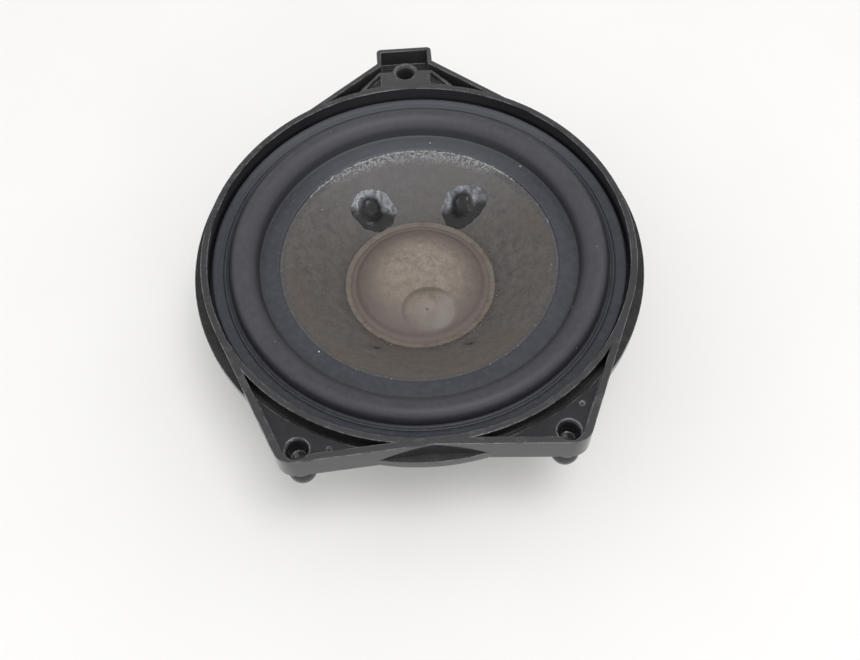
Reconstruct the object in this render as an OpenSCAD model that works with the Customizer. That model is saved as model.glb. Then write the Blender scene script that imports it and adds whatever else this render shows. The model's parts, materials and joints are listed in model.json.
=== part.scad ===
// Car woofer: a moulded mounting frame with three ears, a spoked basket, a paper
// cone on a rubber half-roll, and a ferrite motor that it stands on.
// +Z runs along the cone's axis, out of the front; +Y points at the single ear.

/* [Mounting frame] */
// Outer radius of the raised rim
rim_r = 79.5; // [64:0.5:96]
// Radial width of the rim's top face
rim_w = 2.5; // [2:0.1:4.5]
// Height of the rim above the basket flange
rim_h = 7.3; // [6:0.1:10]
// Depth of the recess in the top of each lower ear
ear_recess = 1.5; // [0.8:0.1:2.5]
// Thickness of the lower ears' floor
ear_floor_t = 2.5; // [1.6:0.1:3]
// Thickness of the lower ears' outer walls
ear_wall = 2.6; // [2:0.1:3]
// Thickness of the upper ear's outer walls
tab_wall = 1.8; // [1.2:0.1:2.6]
// How far below the flange top the ears' walls reach
ear_skirt = 4; // [2:0.1:5]
// Distance of the lower holes outside the rim
ear_reach = 10; // [8.5:0.1:13]
// Angle of each lower hole from the centre line
ear_angle = 30; // [26:1:36]
// Corner radius of the lower ears
ear_corner_r = 7; // [6:0.1:8.5]
// Distance of the upper hole outside the rim
tab_hole_reach = 6.9; // [6.9:0.1:8.5]
// Half width of the tab on the upper ear
tab_half_w = 11.3; // [10.5:0.1:14]
// Distance of the tab's far wall outside the rim
tab_reach = 20.5; // [18:0.1:25]
// Radius of the tab's corners
tab_corner_r = 1.8; // [1:0.1:3]
// Radial width of the crescent slots beside the rim
slot_w = 2.8; // [2:0.1:3.4]

/* [Ear holes and studs] */
// Radius of the hole in each ear
bore_r = 2.9; // [2.6:0.1:3.2]
// Radius of the countersink's mouth
sink_r = 4.2; // [3.6:0.1:4.8]
// Depth of the countersink
sink_depth = 1.6; // [1:0.1:2]
// Radius of the boss around each stud
boss_r = 4.5; // [4:0.1:5]
// How far each boss stands below the flange top
boss_drop = 6.8; // [5.5:0.1:9]
// Radius of the ball on each stud
ball_r = 5; // [4:0.1:5.5]
// Radius of the stud's pressed shank
shank_r = 2.2; // [1.6:0.1:2.4]
// Length of the stud's pressed shank
shank_len = 5.8; // [4:0.1:6.2]

/* [Basket] */
// How far the flange stands out past the rim
flange_over = 3.5; // [2.5:0.1:6]
// Thickness of the flange
flange_t = 4; // [3:0.1:5]
// Angle that each spoke takes up
spoke_deg = 22; // [16:1:30]
// Wall of the spokes
spoke_wall = 3.4; // [2.4:0.1:4.5]
// Thickness of the plate that seats on the motor
base_t = 2.5; // [2:0.1:4]
// Thickness of the stiffening ribs
rib_t = 1.6; // [1.2:0.1:2.4]
// Thickness of the foam gasket under the flange
gasket_t = 2; // [1:0.1:3]
// Radial width of the foam gasket
gasket_w = 7; // [4:0.1:9]

/* [Diaphragm] */
// Gap between the rim and the surround's outer lip
lip_gap = 0.6; // [0.3:0.1:1.5]
// Width of the surround's outer lip
outer_lip_w = 6.4; // [5:0.1:8]
// Width of the half-roll
roll_w = 10.7; // [8:0.1:14]
// Height of the half-roll above its feet
roll_h = 5.9; // [4:0.1:7]
// Width of the surround's inner lip on the cone
inner_lip_w = 7.4; // [5:0.1:9]
// Thickness of the surround's rubber
rubber_t = 0.8; // [0.5:0.1:1.2]
// Step from the cone's rim up to the flange top
surround_rise = 1.8; // [1:0.1:3]
// Slope of the cone
cone_deg = 36.7; // [32:0.1:40]
// Thickness of the paper cone
paper_t = 0.6; // [0.4:0.1:1]
// Radius of the dust cap
cap_r = 27.2; // [22:0.1:31]
// Height of the dust cap's dome
cap_h = 8; // [4:0.1:11]
// Width of the glue bead around the dust cap
bead_w = 1.8; // [1.2:0.1:2.6]

/* [Lead-out] */
// Distance of the lead eyelets from the axis
eyelet_at = 35.4; // [34:0.1:38]
// Angle of the left eyelet from the centre line
eyelet_left = 28.4; // [26:0.1:32]
// Angle of the right eyelet from the centre line
eyelet_right = 31; // [26:0.1:32]
// Radius of the eyelets' barrel
eyelet_r = 1.5; // [1:0.1:2]
// Radius of the glue patch over each eyelet
patch_r = 7.5; // [6:0.1:8]
// Diameter of the tinsel leads
lead_d = 1.4; // [1:0.1:2]

/* [Motor] */
// Radius of the ferrite ring
magnet_r = 42.5; // [38:0.1:48]
// Thickness of the ferrite ring
magnet_t = 12; // [10:0.1:16]
// Radius of the ferrite ring's hole
magnet_hole_r = 21; // [20:0.1:24]
// Thickness of the yoke's back plate
yoke_t = 5; // [4:0.1:8]
// Thickness of the top plate
plate_t = 5; // [4:0.1:7]
// Inner radius of the voice coil former
former_r = 16; // [14:0.1:17]
// Radial build of the voice coil winding
coil_build = 0.75; // [0.5:0.05:1]
// Height of the voice coil winding
coil_h = 11; // [8:0.1:12]
// Radial clearance on each side of the coil assembly
gap_clear = 0.5; // [0.4:0.05:0.8]
// Travel of the cone each way
travel = 6; // [3:0.1:6.5]
// Height of the spider above the top plate
spider_gap = 8; // [7.8:0.1:11]
// Height of the cone's neck above the spider
neck_gap = 1.1; // [1:0.1:3]
// Corrugations in the spider
spider_waves = 6; // [4:1:8]
// Height of the spider's corrugations
spider_wave_h = 1; // [0.6:0.1:1.2]

/* [Connector] */
// Width of the terminal housing
housing_w = 24; // [22:0.5:28]
// Depth of the terminal housing, front to back of its socket
housing_d = 12; // [11:0.5:12.5]
// Height of the terminal housing
housing_h = 14; // [12:0.5:15]
// Wall of the socket
socket_wall = 1.6; // [1.2:0.1:2]
// Depth of the socket
socket_depth = 8.5; // [7:0.1:9]
// Spacing of the two terminal blades
blade_pitch = 12; // [11:0.5:13]
// Width of a terminal blade
blade_w = 2.8; // [2:0.1:4]
// Thickness of a terminal blade
blade_t = 0.8; // [0.6:0.1:1]

/* [Hidden] */
$fn = 180;
eps = 0.01;

// Heights, worked up from the rear face
magnet_top = yoke_t + magnet_t;
plate_top = magnet_top + plate_t;
spider_z = plate_top + spider_gap;
neck_z = spider_z + neck_gap;

// Radii, worked in from the rim
rim_in_r = rim_r - rim_w;
flange_r = rim_r + flange_over;
lip_out_r = rim_in_r - lip_gap;
roll_out_r = lip_out_r - outer_lip_w;
roll_in_r = roll_out_r - roll_w;
lip_in_r = roll_in_r - inner_lip_w;
groove_r = roll_out_r + 2.1;         // groove in the surround's outer lip
lip_bare = 0.7;                     // flat of the cone's rim left inside the lip
cone_edge_r = lip_in_r - lip_bare;
cone_rim_r = roll_in_r - rubber_t;
former_t = 0.2;
former_out_r = former_r + former_t;
coil_out_r = former_out_r + coil_build;
eyelet_head_r = eyelet_r + 0.9;
eyelet_len = paper_t + 1.2;         // from the cone's front face to the solder end
paper_v = paper_t / cos(cone_deg);  // paper thickness measured along Z

// Height of the cone's front face at radius r
function cone_z(r) = neck_z + (r - former_out_r) * tan(cone_deg);

cone_rim_z = cone_z(cone_edge_r);
flange_top = cone_rim_z + surround_rise;
flange_bottom = flange_top - flange_t;
rim_top = flange_top + rim_h;
skirt_bottom = flange_top - ear_skirt;
ear_floor_z = rim_top - ear_recess;
boss_bottom = flange_top - boss_drop;
shank_top = boss_bottom + shank_len;
ball_sink = 1.6;                    // height of the ball cut off flat against its boss
ball_z = boss_bottom - ball_r + ball_sink;

// Lower ears: hole, corner circle and the tangents that draw the outline
hole_at = rim_r + ear_reach;
hole_x = hole_at * sin(ear_angle);
hole_y = -hole_at * cos(ear_angle);
corner_x = hole_x + 1.2;
corner_y = hole_y + 1.7;
corner_d = norm([corner_x, corner_y]);
side_deg = atan2(corner_x, -corner_y) + acos((rim_r - ear_corner_r) / corner_d);
corner_steps = 12;
front_y = -(rim_r + 0.2);
slot_in_r = rim_r - 0.3;
// Moulding marks on the ears' floors: where they are, their radius and their depth
marks = [[-34.2, -78.2], [50.4, -68]];
mark_r = 0.8;
mark_depth = 0.4;
front_d = norm([corner_x, corner_y - front_y]);
front_deg = asin(ear_corner_r / front_d) - atan2(corner_y - front_y, corner_x);

// Upper ear
tab_hole_y = rim_r + tab_hole_reach;
tab_y = rim_r + tab_reach;
tab_foot_deg = 29.5;
tab_root_y = rim_r + 12.5;
tab_root_x = tab_half_w + 0.1;
platform_half_w = 9.6;
platform_y = rim_r + 7.4;
tab_rib_t = 1.2;
tab_rib_foot = 17.3;                // how far from the centre line each diagonal rib meets the rim

// Basket
flange_in_r = roll_out_r - 2;
seat_r = magnet_r + 1;
seat_in_r = seat_r - 2.3;
seat_ledge_r = seat_in_r - 3.7;
spider_t = 0.6;
seat_z = spider_z - spider_t / 2;
seat_top = spider_z + 1.5;
spoke_count = 6;
base_hole_r = 24;
screw_count = 4;
screw_at = 33;
screw_r = 1.9;
screw_head_r = 3.6;
screw_head_h = 1.8;
spoke_top_r = flange_in_r + spoke_wall * 1.4;
gasket_out_r = flange_r - 1.5;
gasket_in_r = gasket_out_r - gasket_w;

// Connector, in a bracket on the spoke behind the upper ear; its socket faces the rear
bracket_wall = 2;
housing_top = flange_bottom - 5;
housing_bottom = housing_top - housing_h;
housing_y = (flange_in_r + seat_r) / 2 + 0.5;
blade_y = housing_y + housing_d / 2;
blade_z = housing_bottom + socket_depth + 1.5;
blade_in_y = housing_y - 7.5;
blade_gap = 0.3;

// ---------- outlines ----------

// Unit vector at an angle from -Y, turning towards +X
function from_front(a) = [sin(a), -cos(a)];

// Right side of the lower outline, drawn in by inset: off the rim, round the ear's corner
function ear_side(inset) = concat(
    [(rim_r - inset) * from_front(side_deg)],
    [for (i = [0 : corner_steps]) [corner_x, corner_y] + (ear_corner_r - inset)
        * from_front(side_deg - (side_deg + front_deg) * i / corner_steps)]
);

module lower_outline(inset) {
    right = ear_side(inset);
    last = len(right) - 1;
    polygon(concat(
        [[0, 0]], right, [[0, front_y + inset / cos(front_deg)]],
        [for (i = [last : -1 : 0]) [-right[i][0], right[i][1]]]
    ));
}

// Upper ear: straight flanks up to a square tab
module upper_outline(inset) {
    foot = (rim_r - inset) * [sin(tab_foot_deg), cos(tab_foot_deg)];
    half_w = tab_half_w - inset;
    r = max(tab_corner_r - inset, 0.4);
    for (s = [0, 1]) mirror([s, 0]) {
        polygon([
            [0, 0], foot, [tab_root_x - inset, tab_root_y - inset * 0.75],
            [half_w, tab_root_y], [half_w, tab_y - inset - r],
            [half_w - r, tab_y - inset], [0, tab_y - inset]
        ]);
        translate([half_w - r, tab_y - inset - r]) circle(r = r, $fn = 48);
    }
}

module full_outline() {
    circle(r = rim_r);
    lower_outline(0);
    upper_outline(0);
}

// Crescents between the rim and the ears, as far as the ears' walls
module slot_outline() {
    difference() {
        intersection() {
            circle(r = slot_in_r + slot_w);
            lower_outline(ear_wall);
        }
        circle(r = slot_in_r);
    }
}

// Deep pockets of the upper ear, either side of the stud platform
module tab_pockets() {
    difference() {
        upper_outline(tab_wall);
        circle(r = rim_r);
        translate([-platform_half_w, 0]) square([2 * platform_half_w, platform_y]);
        translate([0, tab_hole_y]) circle(r = boss_r + 0.6);
        for (s = [0, 1]) mirror([s, 0]) tab_web();
    }
}

// Triangle from the platform's side to the outer edge of the diagonal rib
module tab_web() {
    polygon([
        [platform_half_w - eps, rim_r - 6], [platform_half_w - eps, platform_y],
        [platform_half_w + tab_rib_t, platform_y],
        [tab_rib_foot + tab_rib_t, rim_r - 1.6], [tab_rib_foot + tab_rib_t, rim_r - 6]
    ]);
}

// Shallow triangle between the platform, the diagonal rib and the rim
module tab_triangle() {
    difference() {
        polygon([
            [platform_half_w + 0.6, rim_r - 6], [platform_half_w + 0.6, platform_y - tab_rib_t],
            [tab_rib_foot - 0.4, rim_r - 1.6]
        ]);
        circle(r = rim_r + 0.4);
    }
}

// ---------- plastic ----------

module at_holes() {
    for (s = [-1, 1]) translate([s * hole_x, hole_y]) children();
    translate([0, tab_hole_y]) children();
}

// Hole in an ear: countersink, bore, and the narrower hole for the stud's shank
module ear_hole(top) {
    translate([0, 0, top - sink_depth]) cylinder(r1 = bore_r, r2 = sink_r, h = sink_depth);
    translate([0, 0, top - eps]) cylinder(r = sink_r, h = 3);
    translate([0, 0, shank_top]) cylinder(r = bore_r, h = top - sink_depth - shank_top);
    translate([0, 0, boss_bottom - 1]) cylinder(r = shank_r, h = shank_len + 1 + eps);
}

// Webs inside a lower ear, from its boss to the walls
module ear_webs() {
    web_h = ear_floor_z - ear_floor_t - skirt_bottom - 0.6;
    for (a = [ear_angle - 90 - 25, ear_angle - 90 + 90, ear_angle + 90])
        translate([hole_x, hole_y, skirt_bottom + 0.6]) rotate([0, 0, a])
            translate([0, -rib_t / 2, 0]) cube([30, rib_t, web_h]);
}

module mounting_frame() {
    color([0.06, 0.06, 0.07]) difference() {
        union() {
            translate([0, 0, skirt_bottom]) linear_extrude(rim_top - skirt_bottom) full_outline();
            translate([0, 0, boss_bottom]) linear_extrude(flange_top - boss_bottom)
                at_holes() circle(r = boss_r);
        }
        // bore of the rim, and the room that the basket flange takes
        translate([0, 0, skirt_bottom - 10]) cylinder(r = rim_in_r, h = 50);
        translate([0, 0, flange_bottom - 10]) cylinder(r = flange_r, h = 10 + flange_t);
        // recessed floors and slots of the lower ears
        translate([0, 0, ear_floor_z]) linear_extrude(ear_recess + 1) difference() {
            lower_outline(ear_wall);
            circle(r = slot_in_r + slot_w);
        }
        translate([0, 0, flange_top - 1]) linear_extrude(rim_h + 2) slot_outline();
        // hollow undersides of the lower ears
        difference() {
            translate([0, 0, skirt_bottom - 1])
                linear_extrude(ear_floor_z - ear_floor_t - skirt_bottom + 1) difference() {
                    lower_outline(ear_wall);
                    circle(r = flange_r + 1.2);
                    at_holes() circle(r = boss_r);
                }
            for (s = [0, 1]) mirror([s, 0, 0]) ear_webs();
        }
        // pockets of the upper ear
        translate([0, 0, flange_top]) linear_extrude(rim_h + 1) tab_pockets();
        translate([0, 0, rim_top - 2]) linear_extrude(3) for (s = [0, 1]) mirror([s, 0])
            tab_triangle();
        for (m = marks) translate([m[0], m[1], ear_floor_z - mark_depth])
            cylinder(r = mark_r, h = 2, $fn = 48);
        for (s = [-1, 1]) translate([s * hole_x, hole_y, 0]) ear_hole(ear_floor_z);
        translate([0, tab_hole_y, 0]) ear_hole(rim_top);
    }
}

module ball_stud(at) {
    color([0.05, 0.05, 0.06]) translate([at[0], at[1], 0]) {
        difference() {
            translate([0, 0, ball_z]) sphere(r = ball_r, $fn = 72);
            translate([0, 0, boss_bottom]) cylinder(r = 2 * ball_r, h = 2 * ball_r);
        }
        translate([0, 0, boss_bottom - 1]) cylinder(r = shank_r, h = shank_len + 1);
    }
}

module spoke() {
    rotate([0, 0, -spoke_deg / 2]) rotate_extrude(angle = spoke_deg) polygon([
        [seat_in_r + 1, seat_top], [seat_r, seat_top - spoke_wall * 1.4],
        [spoke_top_r, flange_bottom + eps], [flange_in_r, flange_bottom + eps]
    ]);
}

// Stiffening web down the outside of a spoke
module spoke_web() {
    web_r = gasket_in_r - 0.8;
    rotate([90, 0, 0]) translate([0, 0, -rib_t / 2]) linear_extrude(rib_t) polygon([
        [seat_r - 0.5, plate_top], [seat_r + 2.5, plate_top + 1],
        [web_r, flange_bottom - 3], [web_r, flange_bottom + eps],
        [flange_in_r + 1, flange_bottom + eps], [seat_r - 0.5, seat_top - 2]
    ]);
}

// The solid inside of the basket's conical wall, for cutting what stands inward of it
module basket_inside() {
    rotate_extrude() polygon([
        [0, seat_top - 20], [seat_in_r + 1 - 20, seat_top - 20], [seat_in_r + 1, seat_top],
        [flange_in_r, flange_bottom], [flange_in_r, flange_top + 1], [0, flange_top + 1]
    ]);
}

module basket() {
    color([0.09, 0.09, 0.1]) difference() {
        union() {
            translate([0, 0, flange_bottom]) cylinder(r = flange_r, h = flange_t);
            rotate_extrude() polygon([
                [base_hole_r, plate_top], [seat_r, plate_top], [seat_r, seat_top],
                [seat_in_r, seat_top], [seat_in_r, seat_z], [seat_ledge_r, seat_z],
                [seat_ledge_r, seat_z - 2.5], [seat_ledge_r + 2, plate_top + base_t],
                [base_hole_r, plate_top + base_t]
            ]);
            rotate_extrude() polygon([
                [flange_in_r - 3, flange_bottom - 3], [spoke_top_r - 3, flange_bottom - 3],
                [spoke_top_r, flange_bottom + eps], [flange_in_r, flange_bottom + eps]
            ]);
            for (i = [0 : spoke_count - 1]) rotate([0, 0, 30 + i * 60]) {
                spoke();
                if (i != 1) spoke_web();
            }
            terminal_bracket();
        }
        translate([0, 0, flange_bottom - 1]) cylinder(r = flange_in_r, h = flange_t + 2);
        translate([0, 0, housing_bottom - 10]) housing_block(housing_h + 10);
        for (s = [-1, 1]) blade_shape(s, blade_gap);
        for (i = [0 : screw_count - 1]) at_screws(i)
            translate([0, 0, plate_top - 1]) cylinder(r = screw_r, h = base_t + 2, $fn = 48);
    }
}

// Bracket on the rear spoke, with a pocket that the terminal housing pushes up into
module terminal_bracket() {
    half_w = housing_w / 2 + bracket_wall;
    difference() {
        translate([-half_w, housing_y - 8, housing_bottom])
            cube([2 * half_w, 8 + housing_d + bracket_wall, flange_bottom - housing_bottom + eps]);
        basket_inside();
    }
}

module flange_gasket() {
    color([0.13, 0.13, 0.14]) translate([0, 0, flange_bottom - gasket_t]) difference() {
        cylinder(r = gasket_out_r, h = gasket_t);
        translate([0, 0, -1]) cylinder(r = gasket_in_r, h = gasket_t + 2);
    }
}

// ---------- diaphragm ----------

// One face of the half-roll, from its outer foot to its inner foot
function roll_arc(half_w, height, base_out, base_in) = [
    for (a = [0 : 9 : 180])
        let (mid = (roll_out_r + roll_in_r) / 2, k = (1 - cos(a)) / 2)
        [mid + half_w * cos(a), base_out + (base_in - base_out) * k + height * sin(a)]
];

module surround() {
    lip_top = flange_top + rubber_t + 0.4;
    inner_top = cone_rim_z + rubber_t;
    color([0.1, 0.1, 0.11]) rotate_extrude() polygon(concat(
        [
            [lip_out_r, flange_top], [lip_out_r, lip_top + 0.7], [groove_r + 0.9, lip_top],
            [groove_r + 0.5, lip_top], [groove_r, lip_top - 0.4], [groove_r - 0.5, lip_top]
        ],
        roll_arc(roll_w / 2, roll_h, lip_top, inner_top),
        [[lip_in_r + 0.4, inner_top], [lip_in_r, cone_rim_z + 0.3], [lip_in_r, cone_rim_z]],
        [for (i = [20 : -1 : 0])
            roll_arc(roll_w / 2 - rubber_t, roll_h - rubber_t, flange_top, cone_rim_z)[i]]
    ));
}

module at_eyelet(angle) {
    rotate([0, 0, 90 + angle]) translate([eyelet_at, 0, cone_z(eyelet_at)])
        rotate([0, -cone_deg, 0]) children();
}

module cone() {
    color([0.2, 0.17, 0.15]) difference() {
        rotate_extrude() polygon([
            [former_out_r, neck_z - paper_v], [former_out_r, neck_z],
            [cone_edge_r, cone_rim_z], [cone_rim_r, cone_rim_z],
            [cone_rim_r, cone_rim_z - paper_v], [cone_edge_r, cone_rim_z - paper_v]
        ]);
        for (a = [eyelet_left, -eyelet_right]) at_eyelet(a) {
            translate([0, 0, -3]) cylinder(r = eyelet_r, h = 6, $fn = 48);
            cylinder(r = eyelet_head_r, h = 1, $fn = 48);
        }
    }
}

// Arc of the dust cap's dome, from its centre to radius r_end
function dome(top, r_end, rise) = let (
        ball = (pow(r_end, 2) + pow(rise, 2)) / (2 * rise), a_end = asin(r_end / ball)
    ) [for (i = [0 : 16]) let (a = a_end * i / 16) [ball * sin(a), top - ball * (1 - cos(a))]];

module dust_cap() {
    edge_t = 0.8;
    edge_z = cone_z(cap_r) + edge_t;
    in_r = cap_r - 0.9;
    outer = dome(edge_z + cap_h, cap_r, cap_h);
    inner = dome(edge_z + cap_h - paper_t, in_r, edge_z + cap_h - paper_t - cone_z(in_r));
    color([0.42, 0.36, 0.32]) rotate_extrude() polygon(concat(
        outer, [[cap_r, cone_z(cap_r)]], [for (i = [16 : -1 : 0]) inner[i]]
    ));
}

module dust_cap_bead() {
    bead_r = cap_r + bead_w;
    color([0.6, 0.56, 0.5]) rotate_extrude() polygon([
        [cap_r, cone_z(cap_r)], [bead_r, cone_z(bead_r)], [bead_r - 0.1, cone_z(bead_r) + 0.5],
        [bead_r - 0.6, cone_z(bead_r) + 0.9], [cap_r + 0.5, cone_z(cap_r) + 1.5],
        [cap_r, cone_z(cap_r) + 1.3]
    ]);
}

// Everything above the cone's front face, outside the bead
module above_cone(height) {
    inner = cap_r + bead_w;
    rotate_extrude() polygon([
        [inner, cone_z(inner)], [cone_edge_r, cone_rim_z],
        [cone_edge_r, cone_rim_z + height], [inner, cone_z(inner) + height]
    ]);
}

module lead_eyelet(angle) {
    color([0.75, 0.6, 0.3]) at_eyelet(angle) {
        translate([0, 0, -eyelet_len]) cylinder(r = eyelet_r, h = eyelet_len + 0.8, $fn = 48);
        cylinder(r = eyelet_head_r, h = 0.4, $fn = 48);
        translate([0, 0, -paper_t - 0.4]) cylinder(r = eyelet_head_r, h = 0.4, $fn = 48);
    }
}

module glue_patch(angle) {
    color([0.35, 0.37, 0.42]) difference() {
        union() {
            intersection() {
                above_cone(0.4);
                rotate([0, 0, 90 + angle]) translate([eyelet_at + 0.4, 0, 0])
                    cylinder(r = patch_r, h = 200, $fn = 72);
            }
            intersection() {
                above_cone(10);
                at_eyelet(angle) sphere(r = 3.4, $fn = 48);
            }
        }
        lead_eyelet(angle);
        at_eyelet(angle) translate([0, 0, -1]) cylinder(r = eyelet_head_r, h = 1.4, $fn = 48);
    }
}

module voice_coil_former() {
    bottom = magnet_top + plate_t / 2 - coil_h / 2 - 0.4;
    color([0.8, 0.62, 0.25]) translate([0, 0, bottom]) difference() {
        cylinder(r = former_out_r, h = neck_z + 2.4 - bottom);
        translate([0, 0, -1]) cylinder(r = former_r, h = neck_z + 5 - bottom);
    }
}

module voice_coil() {
    color([0.72, 0.36, 0.16])
        translate([0, 0, magnet_top + plate_t / 2 - coil_h / 2]) difference() {
            cylinder(r = coil_out_r, h = coil_h);
            translate([0, 0, -1]) cylinder(r = former_out_r, h = coil_h + 2);
        }
}

// Corrugated cloth disc; side is +1 for its top face and -1 for its underside
function spider_face(side) = let (
        start = former_out_r + 1.2, end = seat_ledge_r, steps = spider_waves * 8
    ) [for (i = [0 : steps]) [
        start + (end - start) * i / steps,
        spider_z + spider_wave_h * sin(360 * spider_waves * i / steps) + side * spider_t / 2
    ]];

module spider() {
    under = spider_face(-1);
    last = len(under) - 1;
    color([0.8, 0.66, 0.4]) rotate_extrude() polygon(concat(
        [[former_out_r, spider_z - spider_t / 2], [former_out_r, spider_z + spider_t / 2]],
        spider_face(1),
        [[seat_in_r, spider_z + spider_t / 2], [seat_in_r, spider_z - spider_t / 2]],
        [for (i = [last : -1 : 0]) under[i]]
    ));
}

// ---------- motor ----------

module yoke() {
    pole_r = former_r - gap_clear;
    plate_r = magnet_r - 2.5;
    color([0.35, 0.36, 0.38]) rotate_extrude() polygon([
        [0, 0], [plate_r - 1, 0], [plate_r, 1], [plate_r, yoke_t], [pole_r, yoke_t],
        [pole_r, plate_top - 0.5], [pole_r - 0.5, plate_top], [0, plate_top]
    ]);
}

module magnet() {
    color([0.16, 0.16, 0.17]) rotate_extrude() polygon([
        [magnet_hole_r, yoke_t], [magnet_r - 0.8, yoke_t], [magnet_r, yoke_t + 0.8],
        [magnet_r, magnet_top - 0.8], [magnet_r - 0.8, magnet_top], [magnet_hole_r, magnet_top]
    ]);
}

module at_screws(i) {
    rotate([0, 0, 45 + i * 360 / screw_count]) translate([screw_at, 0, 0]) children();
}

module top_plate() {
    color([0.4, 0.41, 0.43]) difference() {
        translate([0, 0, magnet_top]) cylinder(r = magnet_r - 3, h = plate_t);
        translate([0, 0, magnet_top - 1]) cylinder(r = coil_out_r + gap_clear, h = plate_t + 2);
        for (i = [0 : screw_count - 1]) at_screws(i)
            translate([0, 0, plate_top - 4]) cylinder(r = screw_r, h = 5, $fn = 48);
    }
}

module shorting_ring() {
    color([0.75, 0.76, 0.78]) translate([0, 0, yoke_t]) difference() {
        cylinder(r = magnet_hole_r - 0.4, h = 4);
        translate([0, 0, -1]) cylinder(r = coil_out_r + 1, h = 6);
    }
}

module motor_screw(i) {
    color([0.5, 0.5, 0.52]) at_screws(i - 1) difference() {
        union() {
            translate([0, 0, plate_top - 4]) cylinder(r = screw_r, h = 4 + base_t, $fn = 48);
            translate([0, 0, plate_top + base_t]) cylinder(r = screw_head_r, h = screw_head_h, $fn = 48);
        }
        translate([0, 0, plate_top + base_t + 0.6]) cylinder(r = 1.6, h = 3, $fn = 6);
    }
}

// ---------- connector ----------

// Outline of the terminal housing, drawn upward from where it is placed
module housing_block(height) {
    translate([-housing_w / 2, housing_y, 0]) cube([housing_w, housing_d, height]);
}

// Terminal blade: in through the bracket's wall, then down into the socket
module blade_shape(side, grow) {
    translate([side * blade_pitch / 2 - blade_w / 2 - grow, 0, 0]) {
        translate([0, blade_in_y, blade_z - blade_t / 2 - grow])
            cube([blade_w + 2 * grow, blade_y - blade_in_y + blade_t / 2, blade_t + 2 * grow]);
        translate([0, blade_y - blade_t / 2, housing_bottom + 1.5])
            cube([blade_w + 2 * grow, blade_t, blade_z - housing_bottom - 1.5]);
    }
}

module terminal_housing() {
    color([0.08, 0.08, 0.09]) difference() {
        translate([0, 0, housing_bottom]) housing_block(housing_h);
        translate([socket_wall - housing_w / 2, housing_y + socket_wall, housing_bottom - 1])
            cube([housing_w - 2 * socket_wall, housing_d - 2 * socket_wall, socket_depth + 1]);
        for (s = [-1, 1]) blade_shape(s, 0);
    }
}

module terminal_blade(side) {
    color([0.78, 0.72, 0.5]) blade_shape(side, 0);
}

// Middle of the right lead's route, a slack loop: across, towards the upper ear, and down
// from the eyelet's height
lead_loop = [[18.4, 37, -8.2], [17.6, 41.2, -9.6], [14.6, 44.6, -8.4], [10.6, 46.8, -4.8]];
lead_clear = 0.4;
lead_straight = 2;                  // straight end of each lead, along its blade

// Point on an eyelet's own axis, out behind the cone
function behind_eyelet(angle, out) = let (r = eyelet_at + out * sin(cone_deg)) [
    -r * sin(angle), r * cos(angle), cone_z(eyelet_at) - out * cos(cone_deg)
];

// Point on a smooth curve through the points p, t running from 0 to the last index
function on_route(p, t) = let (
        i = min(floor(t), len(p) - 2), u = t - i,
        a = p[max(i - 1, 0)], b = p[i], c = p[i + 1], d = p[min(i + 2, len(p) - 1)]
    ) 0.5 * (2 * b + (c - a) * u + (2 * a - 5 * b + 4 * c - d) * pow(u, 2)
        + (3 * b - a - 3 * c + d) * pow(u, 3));

function unit(v) = v / norm(v);

// Flexible lead from under its eyelet to the end of its blade
module tinsel_lead(side, angle) {
    sides = 8;
    rings = 16;
    route = concat(
        [behind_eyelet(angle, eyelet_len + lead_clear), behind_eyelet(angle, eyelet_len + 2.5)],
        [for (p = lead_loop) [side * p[0], p[1], p[2] + cone_z(eyelet_at)]],
        [for (back = [lead_straight, 0])
            [side * blade_pitch / 2, blade_in_y - lead_clear - back, blade_z]]
    );
    last = len(route) - 1;
    path = [for (i = [0 : rings]) on_route(route, last * i / rings)];
    points = [for (i = [0 : rings]) let (
            along = unit(path[min(i + 1, rings)] - path[max(i - 1, 0)]),
            across = unit(cross(along, [1, 0.2, 0.1])), over = cross(along, across)
        ) for (k = [0 : sides - 1])
            path[i] + lead_d / 2 * (cos(360 * k / sides) * across + sin(360 * k / sides) * over)];
    walls = [for (i = [0 : rings - 1]) for (k = [0 : sides - 1]) let (
            a = i * sides + k, b = i * sides + (k + 1) % sides
        ) for (half = [[a, b + sides, b], [a, a + sides, b + sides]]) half];
    ends = [[for (k = [0 : sides - 1]) k],
        [for (k = [sides - 1 : -1 : 0]) rings * sides + k]];
    color([0.7, 0.5, 0.32]) polyhedron(points, concat(walls, ends));
}

mounting_frame();
basket();
flange_gasket();
surround();
cone();
dust_cap();
dust_cap_bead();
glue_patch(eyelet_left);  // glue_patch_left
glue_patch(-eyelet_right);  // glue_patch_right
lead_eyelet(eyelet_left);  // lead_eyelet_left
lead_eyelet(-eyelet_right);  // lead_eyelet_right
voice_coil_former();
voice_coil();
spider();
top_plate();
magnet();
yoke();
shorting_ring();
motor_screw(1);  // motor_screw_1
motor_screw(2);  // motor_screw_2
motor_screw(3);  // motor_screw_3
motor_screw(4);  // motor_screw_4
ball_stud([-hole_x, hole_y]);  // ball_stud_left
ball_stud([hole_x, hole_y]);  // ball_stud_right
ball_stud([0, tab_hole_y]);  // ball_stud_top
terminal_housing();
terminal_blade(-1);  // terminal_blade_left
terminal_blade(1);  // terminal_blade_right
tinsel_lead(-1, eyelet_left);  // tinsel_lead_left
tinsel_lead(1, -eyelet_right);  // tinsel_lead_right
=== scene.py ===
import json
import math

import bmesh
import bpy
import numpy as np
from mathutils import Matrix, Vector, noise

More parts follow.
